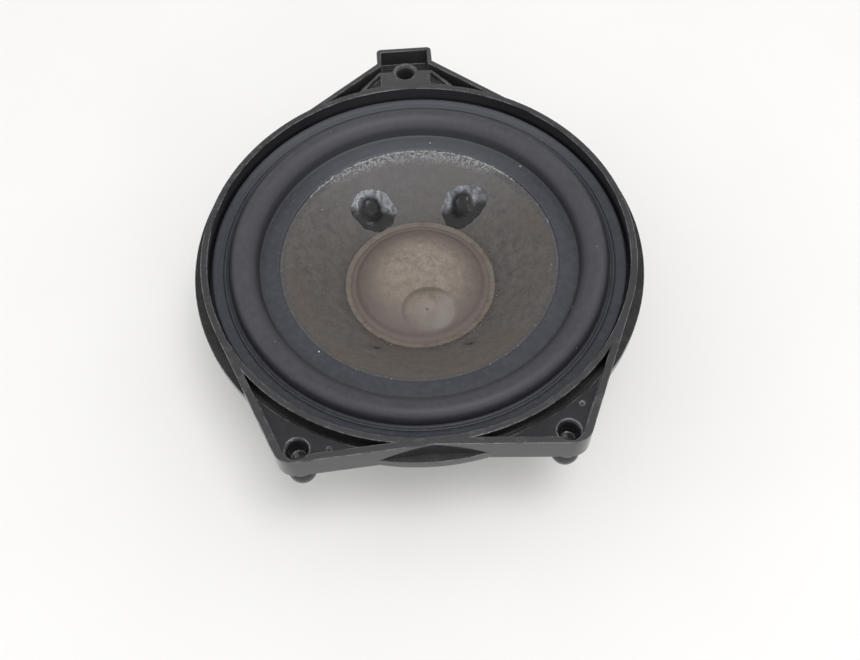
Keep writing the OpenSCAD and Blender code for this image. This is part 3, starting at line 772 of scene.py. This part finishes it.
def dent_share(x, y):
    """1 at the dent's deepest point, 0 at its rim and outside, straight between them."""
    qx = (DENT_DEEPEST[0] - DENT[0]) / DENT_REACH[0]
    qy = (DENT_DEEPEST[1] - DENT[1]) / DENT_REACH[1]
    ux = (x - DENT_DEEPEST[0]) / DENT_REACH[0]
    uy = (y - DENT_DEEPEST[1]) / DENT_REACH[1]
    a = ux * ux + uy * uy + 1e-9
    b = qx * ux + qy * uy
    c = qx * qx + qy * qy - 1
    reach = (-b + np.sqrt(b * b - a * c)) / a
    return np.clip(1 - 1 / reach, 0, 1)


def cap_relief(x, y):
    """The dents, the crease between them, the pulp's waves and the pressed shoulder."""
    share = dent_share(x + 0.5 * cloud(x, y, 6, 5.0), y + 0.5 * cloud(x, y, 6, 9.0))
    height = -DENT_DEPTH * (1 - (1 - share) ** 1.7)
    height -= 0.75 * near(x, y, SECOND_DENT, 11)
    from_x = x - CREASE_START[0]
    from_y = y - CREASE_START[1]
    run_x, run_y = CREASE_RUN
    along = np.clip((from_x * run_x + from_y * run_y) / (run_x ** 2 + run_y ** 2), 0, 1)
    crease = np.hypot(from_x - run_x * along, from_y - run_y * along)
    height -= 0.22 * np.exp(-((crease / 0.9) ** 2))
    height += 0.07 * cloud(x, y, 7) + 0.035 * cloud(x, y, 2.0, 2.0)
    radius = np.hypot(x, y)
    height *= np.clip((CAP_R - 1.5 - radius) / 4, 0, 1)
    valley = -0.55 * np.exp(-(((radius - VALLEY_R) / 0.9) ** 2))
    shoulder = 0.12 * np.exp(-(((radius - SHOULDER_R) / 0.7) ** 2))
    return height + valley + shoulder


def cap_finish():
    made, colour, normal = pulp_finish(
        "cap_paper", (0.155, 0.128, 0.108), (0.285, 0.245, 0.210), (0.20, 0.165, 0.135),
        (0.40, 0.36, 0.31), 0.4,
    )
    radius = made.radius()
    x = made.part("X")
    y = made.part("Y")
    edge = made.noise(6, 3)
    # painted shade: the dome darkens towards its edge
    rim = (radius + 3 * edge).ramp(13, 25)
    painted_shade_edge = made.mix(rim * 0.85, colour, (0.120, 0.098, 0.088))
    # painted shade: greyer towards the front
    low = (0 - y + 5 * edge).ramp(6, 24)
    painted_shade_low = made.mix(low * 0.35, painted_shade_edge, (0.165, 0.145, 0.135))
    # painted light: a pale patch in the lower part of the dent
    painted_light_dent = made.away(DENT_LIT_AT) + 2 * edge
    pale = made.mix((1 - painted_light_dent.ramp(4, 10)) * 0.3, painted_shade_low, (0.25, 0.232, 0.215))
    across = (x - DENT[0] + 1.2 * (edge - 0.5)) / DENT_REACH[0]
    along = (y - DENT[1]) / DENT_REACH[1]
    dent_edge = (across * across + along * along) ** 0.5
    # painted shade: a dark line along the dent's rim on its upper left
    painted_shade_crease = dent_edge.ramp(0.8, 0.98) * (1 - dent_edge.ramp(1.0, 1.1))
    upper_left = (along - across * 0.8).ramp(-0.4, 0.9)
    pale = made.mix(painted_shade_crease * upper_left * 0.55, pale, (0.095, 0.080, 0.070))
    # painted light: paler inside the dent on its right
    painted_light_right = (across - along * 0.2).ramp(0.0, 0.6) * (1 - dent_edge.ramp(0.85, 1.0))
    pale = made.mix(painted_light_right * 0.35, pale, (0.30, 0.275, 0.25))
    spot = made.away(DENT_DOT)
    dotted = made.mix((1 - spot.ramp(0.25, 0.6)) * 0.8, pale, (0.03, 0.028, 0.026))
    return made.shade(base_color=dotted, roughness=0.82, normal=normal)


def dome(radius, top, ball):
    """Height of a shallow dome at a distance from the axis."""
    return top - ball + math.sqrt(ball * ball - radius * radius)


inside = CAP_R - CAP_WALL_T
section = [(r, dome(r, cap_top, cap_ball)) for r in np.linspace(0, CAP_R, 91)]
section += [(CAP_R, cone_z(CAP_R) + 0.1), (inside, cone_z(inside) + 0.1)]
section += [
    (r, dome(r, cap_top - PAPER_T, cap_ball)) for r in np.linspace(0, inside, 31)[29::-1]
]
dust_dome = spun_piece("dust_dome", section, 300, cap_finish(), cap_relief)
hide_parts("dust_cap")
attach(dust_dome, "cone_assembly")


# ---------- glue bead ----------
# The cap is stuck down with a hand-laid bead of light brown glue that has dried uneven, with
# crumbs of brown glue and dirt along its outer edge.
BEAD_W = 1.8


def bead_relief(x, y):
    """Lumps that the glue dried with."""
    return 0.22 * cloud(x, y, 2.2, 1.0) + 0.12 * cloud(x, y, 0.9, 4.0)


def bead_finish():
    made = Finish("bead_glue")
    tone = made.noise(1.6, 4, 0.65)
    dirt = made.noise(3.5, 4, 0.7).ramp(0.48, 0.66)
    colour = made.mix(tone, (0.105, 0.088, 0.074), (0.20, 0.172, 0.148))
    dirty = made.mix(dirt * 0.7, colour, (0.11, 0.085, 0.065))
    normal = made.relief((tone, 0.5, 0.25), (made.noise(0.3, 2), 0.3, 0.05))
    return made.shade(base_color=dirty, roughness=0.55 + 0.2 * tone, normal=normal)


bead_low = cone_z(CAP_R)
bead_out = CAP_R + BEAD_W
section = beside(
    CAP_R, bead_low, (-0.6, 0.9), (-0.15, 1.25), (0.4, 1.42), (0.9, 1.5), (1.35, 1.55)
)
section += beside(bead_out, cone_z(bead_out), (-0.15, 0.35), (0.1, -0.15))
section += beside(CAP_R, bead_low, (0.2, -0.35), (-0.5, -0.1))
glue_bead = spun_piece("glue_bead", section, 480, bead_finish(), bead_relief)
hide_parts("dust_cap_bead")
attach(glue_bead, "cone_assembly")


def grow(name, sizes, material, build, base=None):
    """Runs a geometry tree with named sizes, and keeps what it makes as a plain mesh object."""
    tree = bpy.data.node_groups.new(name, "GeometryNodeTree")
    tree.interface.new_socket("Geometry", in_out="INPUT", socket_type="NodeSocketGeometry")
    for size in sizes:
        tree.interface.new_socket(size, in_out="INPUT", socket_type="NodeSocketFloat")
    tree.interface.new_socket("Geometry", in_out="OUTPUT", socket_type="NodeSocketGeometry")
    start = tree.nodes.new("NodeGroupInput")
    given = [Socket(tree, find_socket(start.outputs, size)) for size in sizes]
    shape = build(Socket(tree, start.outputs["Geometry"]), *given)
    whole = shape.node("GeometryNodeRealizeInstances", {}, {"Geometry": shape})
    painted = whole.node("GeometryNodeSetMaterial", {}, {"Geometry": whole, "Material": material})
    tree.links.new(painted.output, tree.nodes.new("NodeGroupOutput").inputs["Geometry"])
    if base is None:
        base = bpy.data.meshes.new(name)
    carrier = placed(name, base)
    grower = carrier.modifiers.new("grow", "NODES")
    grower.node_group = tree
    for item in tree.interface.items_tree:
        if item.in_out == "INPUT" and item.name in sizes:
            grower[item.identifier] = float(sizes[item.name])
    ready = carrier.evaluated_get(bpy.context.evaluated_depsgraph_get())
    mesh = bpy.data.meshes.new_from_object(ready)
    carrier.modifiers.remove(grower)
    bpy.data.objects.remove(carrier)
    mesh.name = name
    outward(mesh)
    return placed(name, mesh)


def random_value(anchor, low, high, seed):
    """A random number for each point of a geometry tree."""
    return anchor.node(
        "FunctionNodeRandomValue", {"data_type": "FLOAT"},
        {"Min_001": low, "Max_001": high, "Seed": seed}, "Value_001",
    )


def vector(anchor, x, y, z):
    """Three numbers of a geometry tree as one vector."""
    return anchor.node("ShaderNodeCombineXYZ", {}, {0: x, 1: y, 2: z})


def crumb_finish():
    made = Finish("glue_crumbs")
    colour = made.mix(made.lots(0.9), (0.045, 0.026, 0.014), (0.24, 0.175, 0.12))
    normal = made.relief((made.noise(0.3, 2), 0.5, 0.08))
    return made.shade(base_color=colour, roughness=0.6, normal=normal)


def crumb_ring(_, ring, spread, grain, level, slope):
    """Crumbs of random sizes scattered about a ring on the cone, most at the right and front."""
    points = ring.node("GeometryNodeMeshCircle", {}, {"Vertices": 420, "Radius": ring})
    away = random_value(points, -1.0, 1.0, 3)
    place = points.node("GeometryNodeInputPosition")
    shift = 1 + (away * spread) / ring
    moved = points.node("ShaderNodeVectorMath", {"operation": "SCALE"}, {0: place, "Scale": shift})
    x = moved.axis("X")
    y = moved.axis("Y")
    out = (x * x + y * y) ** 0.5
    spot = vector(points, x, y, level + (out - ring) * slope)
    laid = points.node("GeometryNodeSetPosition", {}, {"Geometry": points, "Position": spot})
    ball = points.node("GeometryNodeMeshIcoSphere", {}, {"Radius": grain, "Subdivisions": 1})
    turn = vector(points, random_value(points, 0, 6, 5), random_value(points, 0, 6, 6), 0.0)
    big = vector(
        points,
        random_value(points, 0.3, 1.3, 7),
        random_value(points, 0.3, 1.0, 8),
        random_value(points, 0.3, 0.8, 9),
    )
    lot = random_value(points, 0.0, 1.0, 11)
    right_front = (x - y) / ring
    kept = lot.math("LESS_THAN", lot, 0.26 + 0.26 * right_front)
    return laid.node(
        "GeometryNodeInstanceOnPoints", {},
        {"Points": laid, "Selection": kept, "Instance": ball, "Rotation": turn, "Scale": big},
    )


CRUMBS_AT = bead_out + 0.5
crumb_sizes = {
    "ring": CRUMBS_AT * MM,
    "spread": 1.2 * MM,
    "grain": 0.5 * MM,
    "level": (cone_z(CRUMBS_AT) + 0.1) * MM,
    "slope": CONE_SLOPE,
}
glue_crumbs = grow("glue_crumbs", crumb_sizes, crumb_finish(), crumb_ring)
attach(glue_crumbs, "cone_assembly")


# ---------- cone joint ----------
# The surround's inner lip is stuck to the cone with a thin line of contact glue that has
# squeezed out, and dried whitish and ragged where it was laid thickest, on the ear's side.
def squeeze_finish():
    made = Finish("contact_glue")
    tone = made.noise(1.2, 4, 0.7)
    colour = made.mix(tone.ramp(0.4, 0.65), (0.12, 0.12, 0.125), (0.36, 0.37, 0.38))
    normal = made.relief((tone, 0.5, 0.15))
    return made.shade(base_color=colour, roughness=0.38, normal=normal)


SQUEEZE_R = LIP_IN - 0.2
SQUEEZE_W = 0.55
SQUEEZE_H = 0.4


def squeeze_relief(x, y):
    """Sinks the line into the cone except where enough glue came out."""
    much = np.clip((y - 30) / 12, -0.35, 1)
    lumps = 0.9 * cloud(x, y, 1.7, 6.0) + 0.5 * cloud(x, y, 0.6, 7.0)
    return -0.75 + 0.55 * np.clip(much + lumps, 0, 1.5)


section = [
    (SQUEEZE_R + SQUEEZE_W * math.cos(a), cone_rim_z + 0.28 + SQUEEZE_H * math.sin(a))
    for a in np.linspace(0, math.tau, 16, endpoint=False)
]
contact_glue = spun_piece("contact_glue", section, 600, squeeze_finish(), squeeze_relief)
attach(contact_glue, "cone_assembly")


# ---------- glue patches ----------
# Each lead's eyelet is sealed with a dab of clear glossy glue, drawn out over the cone in a
# bluish film. It stands up over the eyelet, is dark there, and is thin towards the dust cap. Its
# far side is painted pale and bluish, partly its milky colour and partly a painted reflection.
def patch_finish(name, middle):
    made = Finish(name)
    x = made.part("X")
    y = made.part("Y")
    ragged = made.noise(2.4, 4, 0.6)
    across = x - middle[0]
    up = y - middle[1]
    away = (across * across + up * up * 1.3) ** 0.5
    film = (away + 2.6 * ragged).ramp(4.2, 7.4)
    above = (up + 3.0 * ragged).ramp(-0.2, 3.0)
    streaks = made.noise(2.8, 3, 0.55, (1, 0.6, 1), 0.8).ramp(0.3, 0.72)
    pale = made.mix(streaks, (0.072, 0.078, 0.090), (0.26, 0.275, 0.30))
    dark = made.mix(ragged, (0.008, 0.008, 0.010), (0.024, 0.024, 0.027))
    # the far side of the film is paler: partly the film's milky colour, partly a painted reflection
    colour = made.mix(film * above, dark, pale)
    normal = made.relief((ragged, 0.35, 0.6), (made.noise(0.8, 3), 0.2, 0.15))
    return made.shade(base_color=colour, roughness=0.14 + 0.16 * streaks, normal=normal, ior=1.42)


def glue_patch(side, reach, seed):
    """A dab over one eyelet: reach is how far its film goes at each eighth of a turn."""
    low, high = (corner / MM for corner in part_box("lead_eyelet_" + side))
    middle = np.array([(low.x + high.x) / 2, (low.y + high.y) / 2])
    middle += 0.9 * middle / np.hypot(*middle)
    turn = np.linspace(0, math.tau, 144, endpoint=False)
    out = np.linspace(0, 1, 44)
    edge = np.interp(turn, np.linspace(0, math.tau, len(reach) + 1), [*reach, reach[0]])
    x = middle[0] + np.outer(out, edge * np.cos(turn))
    y = middle[1] + np.outer(out, edge * np.sin(turn))
    ragged = 1.0 * cloud(x, y, 4, seed) + 0.4 * cloud(x, y, 1.6, seed + 5)
    x += ragged * out[:, None]
    y += (0.8 * cloud(x, y, 4, seed + 3) - 0.6 * ragged) * out[:, None]
    ground = cone_z(np.hypot(x, y))
    away = np.hypot(x - middle[0], y - middle[1])
    film = 0.34 * (1 - out[:, None] ** 3) + 0.16 * cloud(x, y, 2.5, seed) * (1 - out[:, None])
    bump = 1.9 * np.exp(-((away / 3.8) ** 4)) + 1.1 * np.exp(-((away / 4.6) ** 2))
    top = np.stack((x, y, ground + film + bump - 0.05), -1)
    under = np.stack((x, y, ground - 0.3), -1)
    rings, steps = x.shape
    points = np.concatenate((top.reshape(-1, 3), under.reshape(-1, 3))) * MM
    faces = []
    for sheet in (0, rings * steps):
        here = sheet + np.arange(rings - 1)[:, None] * steps + np.arange(steps)[None, :]
        on = np.roll(here, -1, 1)
        faces += np.stack((here, on, on + steps, here + steps), -1).reshape(-1, 4).tolist()
    rim = (rings - 1) * steps + np.arange(steps)
    rim_on = np.roll(rim, -1)
    below = rings * steps
    faces += np.stack((rim, rim_on, rim_on + below, rim + below), -1).tolist()
    name = "glue_dab_" + side
    patch = new_piece(name, points.tolist(), faces, patch_finish(name, middle))
    outward(patch.data)
    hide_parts("glue_patch_" + side)
    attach(patch, "cone_assembly")


glue_patch("left", (10.2, 8.8, 6.6, 7.0, 7.8, 7.4, 7.0, 7.6), 1.0)
glue_patch("right", (10.6, 7.8, 6.4, 7.6, 8.4, 8.2, 7.2, 7.4), 8.0)


# ---------- eyelets ----------
# The two brass eyelets are closed over the cone, and the leads are soldered in them behind it.
def metal_finish(name, colour, tarnish, gloss, turned):
    """Bare or plated metal: fine machining lines, fingerprints and duller tarnished patches."""
    made = Finish(name)
    cloud_a = made.noise(6, 5, 0.65).ramp(0.42, 0.7)
    lines = made.noise(0.22, 2, 0.5, turned)
    prints = made.noise(2.2, 4, 0.6).ramp(0.5, 0.72)
    tinted = made.mix(cloud_a * 0.6, colour, tarnish)
    spotted = made.mix(made.specks(2.4, 0.2, 0.15) * 0.6, tinted, tuple(c * 0.35 for c in tarnish))
    roughness = gloss + 0.14 * cloud_a + 0.08 * prints + 0.05 * lines
    normal = made.relief((lines, 0.2, 0.03), (cloud_a, 0.15, 0.04))
    return made.shade(base_color=spotted, metallic=1.0, roughness=roughness, normal=normal)


brass = metal_finish("eyelet_brass", (0.72, 0.52, 0.24), (0.42, 0.27, 0.12), 0.28, (1, 1, 1))
for side in ("left", "right"):
    dress("lead_eyelet_" + side, brass, 0.08)


# ---------- voice coil ----------
# The former is a tube of amber film glued in the cone's neck, and on it two layers of
# enamelled copper wire are wound side by side.
def film_finish():
    made = Finish("former_film")
    tone = made.noise(5, 3)
    weave = made.noise(0.4, 2, 0.5, (1, 1, 4))
    colour = made.mix(tone, (0.36, 0.17, 0.045), (0.47, 0.25, 0.075))
    normal = made.relief((tone, 0.2, 0.1), (weave, 0.2, 0.03))
    return made.shade(base_color=colour, roughness=0.24 + 0.1 * tone, normal=normal)


def copper_finish():
    made = Finish("coil_copper")
    tone = made.noise(3, 4, 0.6)
    colour = made.mix(tone, (0.52, 0.20, 0.075), (0.70, 0.31, 0.12))
    return made.shade(
        base_color=colour, metallic=0.9, roughness=0.24 + 0.12 * tone, coat_weight=0.6,
        normal=made.relief((tone, 0.2, 0.05)),
    )


dress("voice_coil_former", film_finish(), 0.03, 1)
FORMER_R = 16.2
WIRE_D = 0.36


def joined(parts):
    """Several geometries of a tree as one."""
    tree = parts[0].tree
    whole = tree.nodes.new("GeometryNodeJoinGeometry")
    for part in parts:
        tree.links.new(part.output, whole.inputs[0])
    return Socket(tree, whole.outputs[0])


def swept(line, section):
    """A section drawn along a curve, closed at both ends."""
    inputs = {"Curve": line, "Profile Curve": section, "Fill Caps": True}
    return line.node("GeometryNodeCurveToMesh", {}, inputs)


def two_windings(_, inner, outer, height, wire, bottom):
    """Wire wound from the coil's bottom to its top, in one layer on another."""
    layers = []
    for layer_r in (inner + wire * 0.55, outer - wire * 0.5):
        turns = (height - wire) / wire
        helix = turns.node(
            "GeometryNodeCurveSpiral", {},
            {"Resolution": 40, "Rotations": turns, "Start Radius": layer_r,
             "End Radius": layer_r, "Height": height - wire},
        )
        raised = helix.node(
            "GeometryNodeTransform", {},
            {"Geometry": helix, "Translation": vector(helix, 0.0, 0.0, bottom + wire * 0.5)},
        )
        section = helix.node(
            "GeometryNodeCurvePrimitiveCircle", {}, {"Resolution": 7, "Radius": wire * 0.49}
        )
        layers.append(swept(raised, section))
    return joined(layers)


coil_low, coil_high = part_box("voice_coil")
coil_sizes = {
    "inner": FORMER_R * MM,
    "outer": coil_high.x,
    "height": coil_high.z - coil_low.z,
    "wire": WIRE_D * MM,
    "bottom": coil_low.z,
}
winding = grow("coil_winding", coil_sizes, copper_finish(), two_windings)
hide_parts("voice_coil")
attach(winding, "cone_assembly")


# ---------- spider ----------
# The spider is a disc of resin-stiffened cotton, pressed into rings of waves. It is glued to
# the former inside and to the basket's seat outside, and bends between them.
SPIDER_WAVES = 6
SPIDER_WAVE_H = 1.0
SPIDER_T = 0.5
SPIDER_CLEAR = 0.05
WAVES_IN = 17.4
WAVES_OUT = 41.2


def cloth_finish():
    made = Finish("spider_cloth")
    threads_x = made.noise(0.35, 1, 0.4, (1, 0.08, 0.3))
    threads_y = made.noise(0.35, 1, 0.4, (0.08, 1, 0.3))
    tone = made.noise(7, 3)
    resin = made.mix(tone, (0.40, 0.27, 0.115), (0.56, 0.41, 0.20))
    woven = made.mix((threads_x + threads_y).ramp(0.75, 1.2), (0.27, 0.17, 0.07), resin)
    normal = made.relief((threads_x + threads_y, 0.6, 0.25), (tone, 0.2, 0.3))
    return made.shade(base_color=woven, roughness=0.72, normal=normal)


def waved_disc(_, inner, outer, first, last, waves, height, level):
    """A grid bent round into a disc, with whole sine waves between two radii."""
    grid = inner.node(
        "GeometryNodeMeshGrid", {},
        {"Size X": 1.0, "Size Y": 1.0, "Vertices X": 150, "Vertices Y": 193},
    )
    place = grid.node("GeometryNodeInputPosition")
    share = place.axis("X") + 0.5
    turn = (place.axis("Y") + 0.5) * math.tau
    out = inner + (outer - inner) * share
    along = (out - first) / (last - first)
    within = along.math("MINIMUM", along.math("MAXIMUM", along, 0.0), 1.0)
    lift = within.math("SINE", within * waves * math.tau) * height
    across = turn.math("COSINE", turn) * out
    up = turn.math("SINE", turn) * out
    spot = vector(grid, across, up, level + lift)
    laid = grid.node("GeometryNodeSetPosition", {}, {"Geometry": grid, "Position": spot})
    return laid.node("GeometryNodeMergeByDistance", {}, {"Geometry": laid, "Distance": 0.00001})


spider_low, spider_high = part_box("spider")
spider_sizes = {
    "inner": (FORMER_R + SPIDER_CLEAR) * MM,
    "outer": spider_high.x - SPIDER_CLEAR * MM,
    "first": WAVES_IN * MM,
    "last": WAVES_OUT * MM,
    "waves": SPIDER_WAVES,
    "height": SPIDER_WAVE_H * MM,
    "level": (spider_low.z + spider_high.z) / 2,
}
spider = grow("waved_spider", spider_sizes, cloth_finish(), waved_disc)
thick = spider.modifiers.new("thickness", "SOLIDIFY")
thick.thickness = SPIDER_T * MM
thick.offset = 0
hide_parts("spider")
flex(spider)


# ---------- motor ----------
# The yoke and the top plate are turned from zinc-plated steel and clamp a ring of hard ferrite.
# An aluminium ring on the pole steadies the field, and four screws go through to the basket.
def ferrite_finish():
    made = Finish("ferrite")
    tone = made.noise(9, 4, 0.6)
    ground = made.noise(0.5, 2, 0.6, (0.15, 1, 1))
    chips = made.specks(5, 0.5, 0.14)
    colour = made.mix(tone, (0.026, 0.026, 0.028), (0.050, 0.049, 0.050))
    chipped = made.mix(chips, colour, (0.10, 0.10, 0.105))
    normal = made.relief((ground, 0.2, 0.05), (chips, -0.4, 0.2))
    return made.shade(base_color=chipped, roughness=0.42 + 0.15 * tone, normal=normal)


zinc = metal_finish("plate_steel", (0.58, 0.59, 0.61), (0.40, 0.38, 0.34), 0.26, (1, 1, 5))
dress("yoke", zinc, 0.4)
dress("top_plate", zinc, 0.3)
dress("magnet", ferrite_finish(), 0.6)
aluminium = metal_finish("ring_aluminium", (0.80, 0.81, 0.82), (0.62, 0.62, 0.62), 0.22, (1, 1, 5))
dress("shorting_ring", aluminium, 0.1)
screw_steel = metal_finish("screw_steel", (0.52, 0.50, 0.45), (0.40, 0.34, 0.22), 0.24, (1, 1, 1))
for number in "1234":
    dress("motor_screw_" + number, screw_steel, 0.12)


# ---------- terminals ----------
# A plastic housing on the basket carries two tinned brass blades in an open socket for the
# car's plug.
housing_plastic = moulded_plastic("housing_plastic", (0.014, 0.014, 0.015), 0.3, 0.15)
dress("terminal_housing", housing_plastic, 0.25)
tin = metal_finish("blade_tin", (0.74, 0.74, 0.73), (0.56, 0.53, 0.47), 0.22, (1, 4, 1))
for side in ("left", "right"):
    dress("terminal_blade_" + side, tin, 0.1)


# ---------- leads ----------
# Two braided tinsel leads carry the current from the blades to the moving cone, in slack loops
# that open and close as it travels.
STRAND_D = 0.42
STRANDS_LAID_AT = 0.42
BRAID_TURNS = 7.0
EYELET_AT = 35.4
LEAD_OUT = (2.2, 4.3)
LEAD_LOOP = ((18.4, 37.0, -8.2), (17.6, 41.2, -9.6), (14.6, 44.6, -8.4), (10.6, 46.8, -4.8))
LEAD_STRAIGHT = 2.0
LEAD_CLEAR = 0.4


def tinsel_finish():
    made = Finish("lead_tinsel")
    tone = made.noise(1.2, 3)
    cotton = made.noise(0.5, 2).ramp(0.5, 0.6)
    wire = made.mix(tone, (0.44, 0.37, 0.28), (0.66, 0.60, 0.50))
    colour = made.mix(cotton * 0.35, wire, (0.50, 0.46, 0.38))
    normal = made.relief((cotton, 0.3, 0.06))
    return made.shade(base_color=colour, metallic=0.75, roughness=0.34 + 0.2 * cotton, normal=normal)


def route(side, turn):
    """The lead's path in millimetres: from its eyelet, round its loop, to its blade."""
    lean = math.atan(CONE_SLOPE)
    height = cone_z(EYELET_AT)
    path = []
    for out in LEAD_OUT:
        r = EYELET_AT + out * math.sin(lean)
        path.append((-r * math.sin(turn), r * math.cos(turn), height - out * math.cos(lean)))
    path += [(side * x, y, z + height) for x, y, z in LEAD_LOOP]
    blade_low, blade_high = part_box("terminal_blade_" + ("right" if side > 0 else "left"))
    blade = ((blade_low + blade_high) / 2 / MM).to_tuple()
    end_y = blade_low.y / MM - LEAD_CLEAR
    path += [(blade[0], end_y - LEAD_STRAIGHT, blade[2]), (blade[0], end_y, blade[2])]
    return [Vector(p) for p in path]


def smooth_path(knots, steps=14):
    """A curve through every knot (Catmull-Rom)."""
    ends = [2 * knots[0] - knots[1], *knots, 2 * knots[-1] - knots[-2]]
    path = []
    for a, b, c, d in zip(ends, ends[1:], ends[2:], ends[3:]):
        for k in range(steps):
            t = k / steps
            bend = (2 * a - 5 * b + 4 * c - d) * t * t + (3 * b - a - 3 * c + d) * t ** 3
            path.append((2 * b + (c - a) * t + bend) / 2)
    return [*path, knots[-1]]


def braid(line, lay, strand, turns):
    """Five strands twisted one way over five twisted the other way."""
    curve = line.node("GeometryNodeMeshToCurve", {}, {"Mesh": line})
    even = curve.node("GeometryNodeResampleCurve", {}, {"Curve": curve, "Count": 130})
    way = even.node("GeometryNodeSplineParameter")
    dot = even.node("GeometryNodeCurvePrimitiveCircle", {}, {"Resolution": 6, "Radius": strand * 0.5})
    ring = even.node("GeometryNodeCurvePrimitiveCircle", {}, {"Resolution": 5, "Radius": lay})
    dots = ring.node("GeometryNodeInstanceOnPoints", {}, {"Points": ring, "Instance": dot})
    section = dots.node("GeometryNodeRealizeInstances", {}, {"Geometry": dots})
    layers = []
    for sense in (1.0, -1.0):
        tilted = even.node(
            "GeometryNodeSetCurveTilt", {}, {"Curve": even, "Tilt": way * turns * (sense * math.tau)}
        )
        layers.append(swept(tilted, section))
    return joined(layers)


tinsel = tinsel_finish()
lead_sizes = {"lay": STRANDS_LAID_AT * MM, "strand": STRAND_D * MM, "turns": BRAID_TURNS}
for side, name, turn in ((-1, "left", 28.4), (1, "right", -31.0)):
    path = smooth_path(route(side, math.radians(turn)))
    line = bpy.data.meshes.new("lead_path_" + name)
    line.from_pydata(
        [(p * MM).to_tuple() for p in path], [(k, k + 1) for k in range(len(path) - 1)], []
    )
    lead = grow("braided_lead_" + name, lead_sizes, tinsel, braid, line)
    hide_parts("tinsel_lead_" + name)
    path[-1] * MM
    path[0] * MM
    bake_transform(lead)
